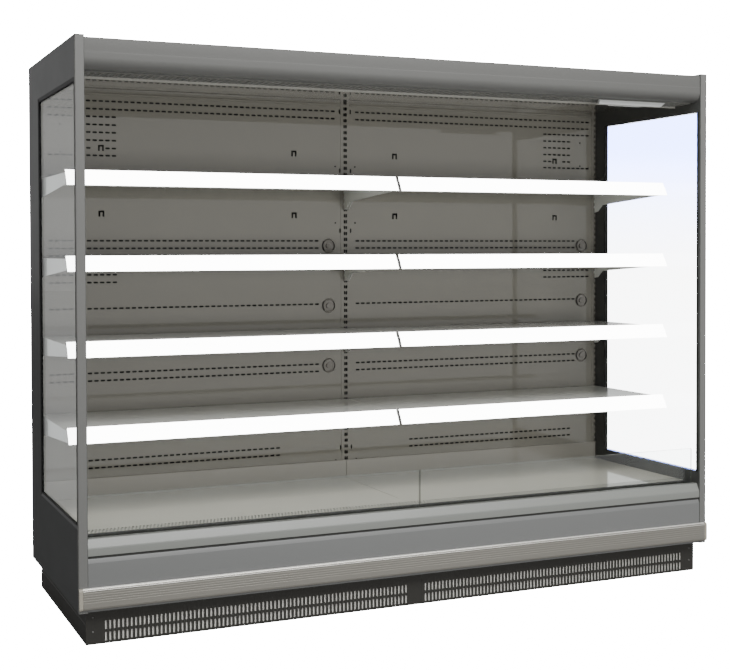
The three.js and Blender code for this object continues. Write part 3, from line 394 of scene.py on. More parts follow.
FINISH = {
    "floor": glow(painted("floor_white", (105, 105, 105), 0.8, 0.02, 0.01, 50, 0.0), (255, 255, 255),
                  BACKDROP, UP, MIRRORED_FLOOR),
    "canopy": painted("canopy_grey", (82, 82, 80), 0.5, 0.05, 0.03, specular=0.3),
    # Posts: faces that look into the cabinet take the walls' inner charcoal instead of the grey, as painted
    # shade.
    "post_left": painted("post_grey_left", (94, 94, 92), 0.5, 0.05, 0.03, specular=0.3,
                         other=(RIGHT, WALL_INSIDE_LIGHTENED)),
    "post_right": painted("post_grey_right", (95, 95, 93), 0.5, 0.05, 0.03, specular=0.3,
                          other=(LEFT, WALL_INSIDE_LIGHTENED)),
    # Walls: inner faces painted lighter and outer faces painted darker, as light and shade on each side.
    "wall_left": painted("charcoal_left", WALL_INSIDE_LIGHTENED, 0.36, 0.06, 0.04, specular=0.3,
                         other=(LEFT, WALL_OUTSIDE_SHADED)),
    "wall_right": painted("charcoal_right", WALL_INSIDE_LIGHTENED, 0.36, 0.06, 0.04, specular=0.3,
                          other=(RIGHT, WALL_OUTSIDE_SHADED)),
    "liner": painted("liner_grey", (113, 111, 103), 0.3, 0.03, 0.03, bump=0.0, specular=0.1, coat=1.0,
                     coat_rough=0.0),
    # Plugs: faces that look to the left are painted dark, as the shade inside the recess round the boss.
    "plug": painted("plug_grey_painted_shade", (112, 109, 103), 0.3, 0.03, 0.03, bump=0.0, coat=0.3,
                    other=(LEFT, (58, 57, 54))),
    # Ceiling: faces that look forward are painted near white, a painted highlight on its front edge where the
    # front light falls.
    "ceiling": painted("ceiling_grey", (176, 173, 164), 0.03, 0.01, 0.03, bump=0.0, coat=1.0, metallic=0.7,
                       other=(FORWARD, (244, 242, 232))),
    # Deck: faces that look up take the light beige, all others a darker copy: painted light on the top and
    # painted shade on the upstand and folds.
    "deck": painted("deck_beige", (134, 131, 123), 0.2, 0.02, 0.03, bump=0.0, coat=1.0, coat_rough=0.0,
                    other=(UP, (226, 221, 205))),
    "trough": painted("trough_grey", (50, 49, 46), 0.3, 0.05, 0.05, bump=0.0, coat=0.3),
    "duct": painted("duct_shade", SHEET_GREY, 0.4, 0.06, 0.04, other=(FORWARD, (30, 30, 29))),
    # Riser cut edges: an opaque grey, partly the glass's own edge tint and partly a painted sheen of the light
    # in a cut edge.
    "glass_edge_tint_and_sheen": painted("glass_edge_tint_and_sheen", (112, 114, 108), 0.2, 0.03, 0.03, bump=0.02, coat=0.5),
    # Shelves: faces that look up or to the left are painted lighter: painted light on the tops and on the left
    # bracket plates.
    "shelf": painted("shelf_grey", (176, 176, 171), 0.3, 0.05, 0.03, bump=0.0, coat=1.0, coat_rough=0.0,
                     other=(UP_LEFT, (232, 233, 227))),
    # Label rails: a glow that only the camera sees, painted light that makes them read bright white; they are
    # no lamp.
    "rail": glow(painted("rail_white", (250, 250, 248), 0.35, 0.04, 0.01, 300, 0.02), (255, 255, 253), 12.0,
                 RAIL_GLOW_FACING),
    "skin": painted("insulated_skin", SHEET_GREY, 0.4, 0.06, 0.04),
    "nose": painted("nose_grey", (112, 114, 110), 0.4, 0.05, 0.03),
    "panel": painted("panel_grey", (98, 99, 98), 0.4, 0.05, 0.03),
    # Bumper: faces that look up are painted near white, a painted highlight along its rounded top edge.
    "bumper": painted("bumper_anodised", (155, 152, 144), 0.36, 0.05, 0.03, bump=0.15, metallic=0.7,
                      brushed=True, other=(UP, (252, 250, 244))),
    "bumper_cap": painted("bumper_cap_plastic", (136, 132, 121), 0.45, 0.05, 0.03),
    "plinth": painted("plinth_black", (40, 39, 36), 0.45, 0.08, 0.05),
    # Pale backing sheet: painted light for the bright backdrop seen through the kick plates' slots.
    "pale_backing": painted("pale_backing_painted_light", (206, 204, 198), 0.9, 0.05, 0.12, 400, 0.4),
    "zinc": painted("galvanised_zinc", (168, 172, 175), 0.42, 0.15, 0.15, 200, 0.05, metallic=0.85),
    "aluminium": painted("fin_aluminium", (186, 190, 192), 0.35, 0.08, 0.06, metallic=0.9, brushed=True),
    "black_metal": painted("black_metal", (22, 22, 23), 0.4, 0.08, 0.04, metallic=0.2),
    "black_plastic": painted("black_plastic", (28, 28, 28), 0.55, 0.06, 0.04, 500, 0.05),
    "comb": painted("comb_grey", (98, 98, 94), 0.5, 0.06, 0.04, 500, 0.05),
    "gap": painted("gap_shade", (46, 46, 44), 0.6, 0.05, 0.03),
    "rubber": painted("edge_rubber", (10, 10, 10), 0.6, 0.05, 0.03, 600, 0.05),
    "lens": painted("lamp_lens", SHEET_GREY, 0.3, 0.04, 0.02, 300, 0.03),
    "screw": painted("screw_zinc", (120, 120, 118), 0.35, 0.05, 0.03, metallic=0.8),
    "pane": clear("end_pane", (251, 252, 252), 1.45, 0.095),
    "riser": clear("riser_pane", (250, 252, 252), 1.1, 0.025),
}


# ---------------------------------------------------------------- making surfaces
CREASE = 35                       # degrees between faces, past which an edge stays sharp
STRAIGHT = 89                     # a corner with more than this half angle, in degrees, isn't rounded
LONGEST_ARC = 0.49                # the share of a side that one corner's arc may take


def add_mesh(name, points, faces, finish, body=CABINET, smooth=None, slot=None):
    """A piece from an (n, 3) array of points in metres and a list of faces, riding on a body."""
    data = bpy.data.meshes.new(name)
    data.from_pydata(np.asarray(points, float).reshape(-1, 3).tolist(), [], faces)
    data.update()
    if smooth is not None:
        data.polygons.foreach_set("use_smooth", np.ones(len(data.polygons), bool))
        data.set_sharp_from_angle(angle=math.radians(smooth))
    piece = bpy.data.objects.new(name, data)
    bpy.context.scene.collection.objects.link(piece)
    piece.data.materials.append(FINISH[finish])
    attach(piece, body)
    return piece


def strip_faces(rows, columns, start=0, wrap=False):
    """Quads between neighbouring rows of a grid of points; wrap closes each row on itself."""
    index = start + np.arange(rows * columns).reshape(rows, columns)
    across = np.concatenate([index, index[:, :1]], 1) if wrap else index
    quads = np.stack([across[:-1, :-1], across[:-1, 1:], across[1:, 1:], across[1:, :-1]], -1)
    return quads.reshape(-1, 4).tolist()


def along_x(name, outline, x0, x1, finish, **more):
    """A closed (y, z) outline pushed from x0 to x1 and capped. Its signed area tells which way round it is
    drawn, and a clockwise one is turned round, so that all faces point outwards."""
    outline = np.asarray(outline, float)
    count = len(outline)
    area = np.sum(outline[:, 0] * np.roll(outline[:, 1], -1) - np.roll(outline[:, 0], -1) * outline[:, 1])
    if area < 0:
        outline = outline[::-1]
    points = np.concatenate([np.repeat([x1, x0], count)[:, None], np.tile(outline, (2, 1))], 1)
    faces = [face[::-1] for face in strip_faces(2, count, wrap=True)]
    faces += [list(range(count)), list(range(2 * count - 1, count - 1, -1))]
    return add_mesh(name, points, faces, finish, smooth=more.pop("smooth", CREASE), **more)


def rounded(points, radius, steps=5):
    """A polyline with each inner corner replaced by an arc of that radius, tangent to both sides."""
    points = np.asarray(points, float)
    radii = np.broadcast_to(radius, len(points))
    made = [points[:1]]
    for before, corner, after, wanted in zip(points[:-2], points[1:-1], points[2:], radii[1:-1]):
        back, on = before - corner, after - corner
        back_length, on_length = np.linalg.norm(back), np.linalg.norm(on)
        back, on = back / back_length, on / on_length
        half = math.acos(np.clip(back @ on, -1, 1)) / 2
        reach = min(wanted / math.tan(half), LONGEST_ARC * back_length, LONGEST_ARC * on_length)
        size = reach * math.tan(half)
        if size < MM / 1000 or half > math.radians(STRAIGHT):
            made.append(corner[None])
            continue
        middle = corner + (back + on) / np.linalg.norm(back + on) * size / math.sin(half)
        first, last = corner + back * reach - middle, corner + on * reach - middle
        turn = math.atan2(first[0] * last[1] - first[1] * last[0], first @ last)
        angles = np.linspace(0, turn, steps + 1)[:, None]
        spun = first * np.cos(angles) + np.array([-first[1], first[0]]) * np.sin(angles)
        made.append(middle + spun)
    made.append(points[-1:])
    return np.concatenate(made)


def folded(line, thick):
    """A sheet's closed outline: the line of one face, and the same line moved to its left by the thickness.
    A point moves along the sum of its sides' normals, n1 + n2, times the thickness / (1 + n1 . n2)."""
    line = np.asarray(line, float)
    step = np.diff(line, axis=0)
    normal = np.stack([-step[:, 1], step[:, 0]], 1) / np.linalg.norm(step, axis=1)[:, None]
    first = np.concatenate([normal[:1], normal])
    last = np.concatenate([normal, normal[-1:]])
    moved = line + (first + last) * (thick / (1 + np.sum(first * last, 1)))[:, None]
    return np.concatenate([line, moved[::-1]])


def soften(piece, width, segments=2, from_angle=None):
    """Rounds a piece's edges with a bevel; from_angle is the least angle between faces that makes an edge."""
    bevel = piece.modifiers.new("edge", "BEVEL")
    bevel.width = width
    bevel.segments = segments
    if from_angle:
        bevel.limit_method = "ANGLE"
        bevel.angle_limit = math.radians(from_angle)


def softened_box(name, low, high, finish, radius=0.5 * MM, **more):
    """A box from its two corners, its edges rounded by a bevel."""
    low, high = np.asarray(low, float), np.asarray(high, float)
    corners = np.array([(i, j, k) for i in (0, 1) for j in (0, 1) for k in (0, 1)])
    points = low + corners * (high - low)
    faces = [[0, 1, 3, 2], [4, 6, 7, 5], [0, 4, 5, 1], [2, 3, 7, 6], [0, 2, 6, 4], [1, 5, 7, 3]]
    piece = add_mesh(name, points, faces, finish, **more)
    soften(piece, radius)
    return piece


def turned(name, profile, place, axis, finish, segments=32, **more):
    """A (radius, height) profile turned about an axis, with both ends capped. A point is
    place + radius * (side * cos + other * sin) + height * axis, with side and other square to the axis."""
    profile = np.asarray(profile, float)
    axis = Vector(axis).normalized()
    side = axis.orthogonal().normalized()
    other = axis.cross(side)
    angles = np.linspace(0, 2 * math.pi, segments, endpoint=False)
    radial = np.cos(angles)[:, None] * np.array(side) + np.sin(angles)[:, None] * np.array(other)
    points = (np.array(place) + profile[:, None, :1] * radial[None]
              + profile[:, None, 1:] * np.array(axis)[None, None])
    rows = len(profile)
    faces = strip_faces(rows, segments, wrap=True)
    faces += [list(range(segments)), list(range(rows * segments - 1, (rows - 1) * segments - 1, -1))]
    return add_mesh(name, points, faces, finish, smooth=CREASE, **more)


# ---------------------------------------------------------------- perforated sheets
def slot_chains(half_long, half_wide, steps=4):
    """A slot with half-circle ends as four chains: east, north, west and south, each anticlockwise.
    A standing slot is a lying one turned up by a quarter."""
    if half_long >= half_wide:
        turn = np.linspace(-math.pi / 2, math.pi / 2, steps + 1)
        east = np.stack([half_long - half_wide + half_wide * np.cos(turn), half_wide * np.sin(turn)], 1)
        west = -east
        return [east, np.array([east[-1], west[0]]), west, np.array([west[-1], east[0]])]
    lying = slot_chains(half_wide, half_long, steps)
    turned_up = [np.stack([-chain[:, 1], chain[:, 0]], 1) for chain in lying]
    return [turned_up[3], turned_up[0], turned_up[1], turned_up[2]]


def hook_chains(width, height, slit):
    """An n-shaped slit as four chains, round a tongue that stands on the south chain's inner points."""
    out, up = width / 2, height / 2
    south = np.array([(-out, -up), (-out + slit, -up), (out - slit, -up), (out, -up)])
    east = np.array([(out, -up), (out, up)])
    return [east, np.array([east[1], -east[0]]), -east, south]


class SheetMaker:
    """A flat sheet on lines u and v, with holes in some of its cells.
    Every hole is joined to its cell's corners by four faces, so that the sheet stays closed round it."""

    def __init__(self, u_lines, v_lines):
        """Rising lines u and v; all cells start filled."""
        self.u, self.v = np.asarray(u_lines, float), np.asarray(v_lines, float)
        self.filled = np.ones((len(self.u) - 1, len(self.v) - 1), bool)
        grid_u, grid_v = np.meshgrid(self.u, self.v, indexing="ij")
        self.index = np.arange(grid_u.size).reshape(grid_u.shape)
        self.points = [np.stack([grid_u.ravel(), grid_v.ravel()], 1)]
        self.count = grid_u.size
        self.faces = []

    def cell_of(self, u, v):
        """The column and row of the cell that a place lies in."""
        return int(np.searchsorted(self.u, u) - 1), int(np.searchsorted(self.v, v) - 1)

    def add_points(self, points):
        """Stores points and gives their numbers."""
        numbers = self.count + np.arange(len(points))
        self.points.append(np.asarray(points, float))
        self.count += len(points)
        return numbers

    def many(self, columns, rows, chains):
        """The same hole in the middle of many single cells, all cells at once.
        Each chain of the hole makes one face with the side of the cell that it looks to."""
        columns, rows = np.asarray(columns), np.asarray(rows)
        self.filled[columns, rows] = False
        ring = np.concatenate([chain[:-1] for chain in chains])
        size = len(ring)
        middles = np.stack([(self.u[columns] + self.u[columns + 1]) / 2,
                            (self.v[rows] + self.v[rows + 1]) / 2], 1)
        numbers = self.add_points((middles[:, None] + ring[None]).reshape(-1, 2)).reshape(-1, size)
        corners = [self.index[columns + 1, rows], self.index[columns + 1, rows + 1],
                   self.index[columns, rows + 1], self.index[columns, rows]]
        start = 0
        for corner, after, chain in zip(corners, corners[1:] + corners[:1], chains):
            chosen = (start + np.arange(len(chain))) % size
            start += len(chain) - 1
            inner = numbers[:, chosen[::-1]]
            self.faces += np.concatenate([corner[:, None], after[:, None], inner], 1).tolist()

    def one(self, u, v, chains, rows, tongue=None):
        """A single hole round (u, v), in a cell that joins a range of rows.
        A tongue stands in it as far up as the slit above it leaves; tongue is that slit's width."""
        column, _ = self.cell_of(u, v)
        low, high = rows
        self.filled[column, low:high] = False
        middle = np.array([u, v])
        numbers = self.add_points(np.concatenate([chain[:-1] for chain in chains]) + middle)
        size = len(numbers)
        east = self.index[column + 1, low:high + 1]
        west = self.index[column, low:high + 1][::-1]
        sides = [east, np.array([east[-1], west[0]]), west, np.array([west[-1], east[0]])]
        start = 0
        for side, chain in zip(sides, chains):
            chosen = (start + np.arange(len(chain))) % size
            start += len(chain) - 1
            self.faces.append(list(side) + list(numbers[chosen[::-1]]))
        if tongue:
            height = chains[0][:, 1].max() - tongue
            top = self.add_points(np.array([(chains[3][2][0], height), (chains[3][1][0], height)]) + middle)
            self.faces.append([numbers[-2], numbers[-1], top[0], top[1]])

    def finish(self):
        """The points, in u and v, and the faces of the whole sheet."""
        columns, rows = np.nonzero(self.filled)
        quads = np.stack([self.index[columns, rows], self.index[columns + 1, rows],
                          self.index[columns + 1, rows + 1], self.index[columns, rows + 1]], 1)
        return np.concatenate(self.points), quads.tolist() + self.faces


def thicken(piece, thick):
    """Gives a sheet its thickness, away from the side that its faces look to."""
    solidify = piece.modifiers.new("thickness", "SOLIDIFY")
    solidify.thickness = thick
    solidify.offset = -1
    solidify.use_even_offset = False


# ---------------------------------------------------------------- rear panels
# Heights above the floor and distances from the middle of the fridge, in mm, unless a value is times MM.
SLOT_PITCH = 25 * MM
SLOT_LONG, SLOT_WIDE = 18.5 * MM, 6.8 * MM
ROW_HALF = 5                      # half height of the cells of a slot row
FIRST_SLOT = 55 * MM              # middle of the first slot, from the middle of the fridge
SLOTS_PER_ROW = 47
LONG_ROWS = (1911, 1880)
CORNER_ROWS = (1850, 1699, 1619, 1308, 1234, 1204)
SHORT_CORNER_ROWS = (1819, 1789, 1758, 1727.5)
MIDDLE_ROWS = (1367, 1337, 1102, 850, 820)
LOW_ROWS = (509, 479)
ROW_HEIGHTS = LONG_ROWS + CORNER_ROWS + SHORT_CORNER_ROWS + MIDDLE_ROWS + LOW_ROWS
ROW_END = 1240                    # where rows that run into the corner end
CORNER_FROM, SHORT_TO = 965, 1118
MIDDLE_FROM, MIDDLE_TO = 115, 1142
LOW_FROM = 293
HOOKS = (230, 1031)
HOOK_HEIGHTS = (1729, 1473)
HOOK_WIDE, HOOK_TALL, HOOK_SLIT = 23 * MM, 24 * MM, 7 * MM
HOOK_HALF = 13                    # half height of a hook's cell
HOOK_CLEAR = (5, 40)              # no slot of the row at a hook's height starts in this range beyond the hook
NOTCH_HEIGHTS = (1911, 1662, 1410, 494)
NOTCH_PLACE = 24.6
NOTCH_HALF = 10                   # half height of a notch's cell
NOTCH_SLOT = (3.1 * MM, 9.5 * MM)
RIB_HEIGHT, RIB_HALF, RIB_SLOPE, RIB_DEPTH = 1938, 3, 3, 4
NEAR = 0.1                        # a line this close to a height, in mm, counts as at it
LINER_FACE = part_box("upright_centre")[0].y + 1.5 * MM      # the uprights stand a little in front of the liner
PLUG_HEIGHTS = (1346, 1095, 843)
PLUG_FROM_EDGE = 77 * MM          # a plug's middle, to the left of its bay's right edge
PLUG_PROFILE = ((31, 0), (30.6, 0.8), (29.8, 1.2), (29, 3), (27.6, 8), (26.4, 9), (25.2, 8.4), (24.6, 1.2),
                (23.6, 0.6), (12.4, 0.6), (11.8, 1.4), (11.4, 5.4), (10.4, 6.2), (5, 6.4), (0.4, 6.4))
STUDS = ((1166, 1816), (1166, 1710), (45, 1680), (45, 1443), (47, 441))
STUD_PROFILE = ((3.6, 0), (3.2, 1.4), (2, 1.8), (0.3, 1.8))


def row_span(side, height):
    """The slots of a row, as the least and greatest distance from the middle, in millimetres."""
    if height in LONG_ROWS:
        return 0, ROW_END
    if height in CORNER_ROWS:
        return CORNER_FROM, ROW_END
    if height in SHORT_CORNER_ROWS:
        return CORNER_FROM, SHORT_TO
    if height in MIDDLE_ROWS:
        return (MIDDLE_FROM, ROW_END) if side < 0 else (0, MIDDLE_TO)
    return LOW_FROM, SHORT_TO


def row_lines(low, high):
    """The heights of the sheet's lines: both ends, and the edges of the cells of all rows, hooks, notches and
    the rib. Of two lines closer than 2 * NEAR, the lower one stays."""
    edges = {low, high}
    for heights, half in ((ROW_HEIGHTS, ROW_HALF), (HOOK_HEIGHTS, HOOK_HALF), (NOTCH_HEIGHTS, NOTCH_HALF),
                          ((RIB_HEIGHT,), RIB_HALF), ((RIB_HEIGHT,), RIB_HALF + RIB_SLOPE)):
        edges |= {(height + way * half) * MM for height in heights for way in (-1, 1)}
    lines = np.array(sorted(edges))
    return lines[np.concatenate([[True], np.diff(lines) > 2 * NEAR * MM])]


def rear_panel(name, side):
    """The perforated liner of one bay: rows of slots, hooked tongues, side notches and a pressed rib.
    The rib stands RIB_DEPTH proud over its middle and falls in a straight line to nothing over RIB_SLOPE."""
    low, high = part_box(f"rear_panel_{name}")
    columns = FIRST_SLOT + SLOT_PITCH * (np.arange(SLOTS_PER_ROW + 1) - 0.5)
    inner, outer = min(abs(low.x), abs(high.x)), max(abs(low.x), abs(high.x))
    lines = row_lines(low.z, high.z)
    sheet = SheetMaker(np.sort(side * np.concatenate([[inner], columns, [outer]])), lines)

    def rows_at(height, half):
        """The rows of cells from half below a height to half above it."""
        return tuple(np.searchsorted(lines, [(height - half - NEAR) * MM, (height + half - NEAR) * MM]))

    for height in HOOK_HEIGHTS:
        for distance in HOOKS:
            sheet.one(side * distance * MM, height * MM, hook_chains(HOOK_WIDE, HOOK_TALL, HOOK_SLIT),
                      rows_at(height, HOOK_HALF), tongue=HOOK_SLIT)
    for height in NOTCH_HEIGHTS:
        sheet.one(side * NOTCH_PLACE * MM, height * MM, slot_chains(*NOTCH_SLOT), rows_at(height, NOTCH_HALF))
    middles = side * (FIRST_SLOT + SLOT_PITCH * np.arange(SLOTS_PER_ROW))
    chosen_columns, chosen_rows = [], []
    for height in ROW_HEIGHTS:
        least, most = row_span(side, height)
        away = np.abs(middles)
        for middle in middles[(away - SLOT_LONG / 2 > least * MM) & (away + SLOT_LONG / 2 < most * MM)]:
            column, row = sheet.cell_of(middle, height * MM)
            beyond = [abs(middle) / MM - distance for distance in HOOKS]
            beside_hook = (abs(height - HOOK_HEIGHTS[0]) < ROW_HALF
                           and any(HOOK_CLEAR[0] < gap < HOOK_CLEAR[1] for gap in beyond))
            if sheet.filled[column, row] and not beside_hook:
                chosen_columns.append(column)
                chosen_rows.append(row)
    sheet.many(chosen_columns, chosen_rows, slot_chains(SLOT_LONG / 2, SLOT_WIDE / 2))
    flat, faces = sheet.finish()
    rib = np.clip(1 - (np.abs(flat[:, 1] - RIB_HEIGHT * MM) - RIB_HALF * MM) / (RIB_SLOPE * MM), 0, 1)
    points = np.stack([flat[:, 0], LINER_FACE - RIB_DEPTH * MM * rib, flat[:, 1]], 1)
    panel = add_mesh(f"liner_{name}", points, faces, "liner", slot="liner_grey")
    thicken(panel, SHEET)
    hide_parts(f"rear_panel_{name}")


def on_liner(name, profile, x, height, finish, segments):
    """A profile in mm, turned about a line that stands square on the liner."""
    turned(name, np.array(profile) * MM, (x, LINER_FACE, height), FORWARD, finish, segments,
           slot="liner_grey")


def dress_rear():
    """Both liners, each with three pressed plugs, whose rim is dished round a boss, and five small studs."""
    for name, side in SIDES:
        rear_panel(name, side)
        right_edge = 0 if side < 0 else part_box("end_wall_right")[0].x
        for number, height in enumerate(PLUG_HEIGHTS, 1):
            on_liner(f"plug_{name}_{number}", PLUG_PROFILE, right_edge - PLUG_FROM_EDGE, height * MM,
                     "plug", 40)
        for number, (distance, height) in enumerate(STUDS, 1):
            on_liner(f"stud_{name}_{number}", STUD_PROFILE, side * distance * MM, height * MM,
                     "black_metal", 20)


# ---------------------------------------------------------------- uprights
UPRIGHT_FIRST_SLOT = 448 * MM     # height of the lowest slot
UPRIGHT_TOP = 40 * MM             # no slot within this of the upright's top
UPRIGHT_HALF_CELL = 4.1 * MM
UPRIGHT_SLOT = (3.6 * MM, 8.4 * MM)
UPRIGHT_EDGE = 0.1 * MM           # outer edge of an end upright to the cells of its slots


def dress_uprights():
    """Upright faces with columns of wide punched slots, between two flanges: one column on the end uprights,
    two on the middle one."""
    for name in ("left", "centre", "right"):
        low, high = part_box(f"upright_{name}")
        half = UPRIGHT_HALF_CELL
        places = {"left": [low.x + half + UPRIGHT_EDGE], "right": [high.x - half - UPRIGHT_EDGE],
                  "centre": [-half, half]}[name]
        lines = {low.x, high.x}
        for place in places:
            lines |= {round(place - half, 7), round(place + half, 7)}
        heights = np.arange(UPRIGHT_FIRST_SLOT, high.z - UPRIGHT_TOP, SLOT_PITCH)
        count = len(heights)
        rows = np.concatenate([[low.z], heights[0] + SLOT_PITCH * (np.arange(count + 1) - 0.5), [high.z]])
        sheet = SheetMaker(sorted(lines), rows)
        for place in places:
            column, _ = sheet.cell_of(place, heights[0])
            sheet.many(np.full(count, column), np.arange(1, count + 1), slot_chains(*UPRIGHT_SLOT, 2))
        flat, faces = sheet.finish()
        points = np.stack([flat[:, 0], np.full(len(flat), low.y), flat[:, 1]], 1)
        web = add_mesh(f"upright_web_{name}", points, faces, "liner", slot="liner_grey")
        thicken(web, SHEET)
        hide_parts(f"upright_{name}")
        for number, x in enumerate((low.x, high.x - SHEET), 1):
            flange = softened_box(f"upright_flange_{name}_{number}", (x, low.y + SHEET, low.z),
                                  (x + SHEET, high.y, high.z), "liner", slot="liner_grey")
            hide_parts(f"upright_{name}")


# ---------------------------------------------------------------- canopy and outlet
ROLL_RADIUS = 38 * MM
ROLL_RISE = 10 * MM               # the rolled foot, above the foot of the solid
SEAM_DROP = 49 * MM               # the seam, below the canopy's top
SEAM_STEP = 1 * MM                # the upper sheet lies this far behind the rolled one
LIP_LONG, LIP_TALL = 4 * MM, 5 * MM
LIP_CLEAR = 0.3 * MM              # lip to air outlet
COMB_PITCH = (25 * MM, 17 * MM)
COMB_HOLE = (10.5 * MM, 6.5 * MM)


def dress_canopy():
    """A folded sheet: the top, a seam where the face steps forward, a quarter circle of ROLL_RADIUS at the
    foot, and a lip that turns up before the air outlet."""
    low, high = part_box("canopy")
    foot = low.z + ROLL_RISE
    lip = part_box("air_outlet")[0].y - LIP_CLEAR
    face = low.y
    upper = face + SEAM_STEP
    seam = high.z - SEAM_DROP
    turn = np.linspace(math.pi, 1.5 * math.pi, 25)
    rolled = np.stack([face + ROLL_RADIUS * (1 + np.cos(turn)), foot + ROLL_RADIUS * (1 + np.sin(turn))], 1)
    line = np.concatenate([
        rounded([(high.y, high.z), (upper, high.z), (upper, seam + 15 * MM)], 2 * MM),
        rounded([(upper, seam + 6 * MM), (upper, seam + 1.5 * MM), (face, seam), (face, seam - 6 * MM)],
                1 * MM, 3),
        rolled,
        rounded([(lip - LIP_LONG, foot), (lip, foot), (lip, foot + LIP_TALL)], 1.5 * MM),
    ])
    canopy = along_x("canopy_skin", folded(line, SHEET), low.x, high.x, "canopy", slot="grey_trim")
    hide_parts("canopy")


def dress_outlet():
    """A thick comb with a hole in each cell of an even grid, but for the first and last column."""
    low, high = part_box("air_outlet")
    columns = int((high.x - low.x) / COMB_PITCH[0])
    rows = int((high.y - low.y) / COMB_PITCH[1])
    sheet = SheetMaker(np.linspace(low.x, high.x, columns + 1), np.linspace(low.y, high.y, rows + 1))
    cells = np.meshgrid(np.arange(1, columns - 1), np.arange(rows), indexing="ij")
    sheet.many(cells[0].ravel(), cells[1].ravel(), slot_chains(*COMB_HOLE, 3))
    flat, faces = sheet.finish()
    points = np.stack([flat[:, 0], flat[:, 1], np.full(len(flat), low.z)], 1)
    comb = add_mesh("air_comb", points, [face[::-1] for face in faces], "comb", slot="outlet_black")
    thicken(comb, high.z - low.z)
    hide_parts("air_outlet")


# ---------------------------------------------------------------- lamp
LENS_RIBS, LENS_STEPS = 3, 8
LENS_DEPTH = 1.5 * MM
LENS_BEVEL = 2 * MM
LENS_SLANT = 22 * MM
CABLE_STRIP = 4 * MM
CABLE_IN, CABLE_OUT = 14 * MM, 22 * MM    # the cable strip's ends, inside and beyond the lens


def dress_lamp():
    """Ribbed lens whose right end is cut at a slant, and the thin cable strip that goes on beyond it.
    The lens's front is low.y + LENS_DEPTH * (1 - sqrt|sin|), with half a wave for each rib."""
    low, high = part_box("light_bar")
    heights = np.linspace(high.z, low.z, LENS_RIBS * LENS_STEPS + 1)
    wave = np.sqrt(np.abs(np.sin(np.linspace(0, math.pi * LENS_RIBS, len(heights)))))
    front = np.stack([low.y + LENS_DEPTH * (1 - wave), heights], 1)
    outline = np.concatenate([[(high.y, low.z), (high.y, high.z), (low.y + LENS_BEVEL, high.z)], front[1:-1],
                              [(low.y + LENS_BEVEL, low.z)]])
    lens = along_x("lamp_lens", outline, low.x, high.x, "lens", smooth=60, slot="lamp_lens")
    places = np.empty(len(lens.data.vertices) * 3)
    lens.data.vertices.foreach_get("co", places)
    places = places.reshape(-1, 3)
    at_end = places[:, 0] > high.x - 1 * MM
    places[at_end, 0] -= (high.z - places[at_end, 2]) / (high.z - low.z) * LENS_SLANT
    lens.data.vertices.foreach_set("co", places.ravel())
    lens.data.update()
    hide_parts("light_bar")
    softened_box("lamp_cable_strip", (high.x - CABLE_IN, low.y, low.z),
                 (high.x + CABLE_OUT, low.y + CABLE_STRIP, low.z + CABLE_STRIP), "comb", slot="grey_trim")


# ---------------------------------------------------------------- end walls
GLASS_BACK = 15 * MM              # the window ends this far behind the solid's
REVEAL_WIDE, REVEAL_DEEP = 11 * MM, 5 * MM
SEAL_LIP, SEAL_FRONT_LIP = 4 * MM, 13 * MM
SEAL_INSET = 0.6 * MM             # the seal's faces, inside the wall's
PANE_BITE = 0.5 * MM              # how far the pane reaches into the seal


def dress_ends():
    """A wall panel with a bevelled reveal round its window, which is open to the front. The pane sits in a
    black rubber frame almost as deep as the wall is thick."""
    for name, side in SIDES:
        low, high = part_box(f"end_glass_{name}")
        wall_low, wall_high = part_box(f"end_wall_{name}")
        high.y += GLASS_BACK
        out, inside = (wall_low.x, wall_high.x) if side < 0 else (wall_high.x, wall_low.x)

        def ring_at(x, grow):
            """The panel's outline at x, its window larger all round by grow."""
            return [(x, wall_low.y, wall_low.z), (x, wall_high.y, wall_low.z), (x, wall_high.y, wall_high.z),
                    (x, wall_low.y, wall_high.z), (x, wall_low.y, high.z + grow),
                    (x, high.y + grow, high.z + grow), (x, high.y + grow, low.z - grow),
                    (x, wall_low.y, low.z - grow)]
        points = ring_at(out, REVEAL_WIDE) + ring_at(out - side * REVEAL_DEEP, 0) + ring_at(inside, 0)
        faces = strip_faces(3, 8, wrap=True) + [list(range(8))[::-1], list(range(16, 24))]
        if side > 0:
            faces = [face[::-1] for face in faces]
        wall = add_mesh(f"wall_panel_{name}", points, faces, f"wall_{name}", slot="charcoal_panel")
        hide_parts(f"end_wall_{name}")

        window = [(low.y, low.z), (high.y, low.z), (high.y, high.z), (low.y, high.z)]
        opening = [(low.y + SEAL_FRONT_LIP, low.z + SEAL_LIP), (high.y - SEAL_LIP, low.z + SEAL_LIP),
                   (high.y - SEAL_LIP, high.z - SEAL_LIP), (low.y + SEAL_FRONT_LIP, high.z - SEAL_LIP)]
        points = [(x, y, z) for x in (wall_low.x + SEAL_INSET, wall_high.x - SEAL_INSET)
                  for y, z in window + opening]
        faces = []
        for this in range(4):
            after = (this + 1) % 4
            faces += [[8 + this, 8 + after, 12 + after, 12 + this], [this, 4 + this, 4 + after, after],
                      [this, after, 8 + after, 8 + this], [4 + this, 12 + this, 12 + after, 4 + after]]
        seal = add_mesh(f"glass_seal_{name}", points, faces, "rubber", slot="end_glass")
        soften(seal, 1 * MM)
        pane_low = (low.x, low.y + SEAL_FRONT_LIP - PANE_BITE, low.z + SEAL_LIP - PANE_BITE)
        pane_high = (high.x, high.y - SEAL_LIP + PANE_BITE, high.z - SEAL_LIP + PANE_BITE)
        pane = softened_box(f"end_pane_{name}", pane_low, pane_high, "pane", 1 * MM, slot="end_glass")
        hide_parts(f"end_glass_{name}")
        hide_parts(f"end_glass_{name}")


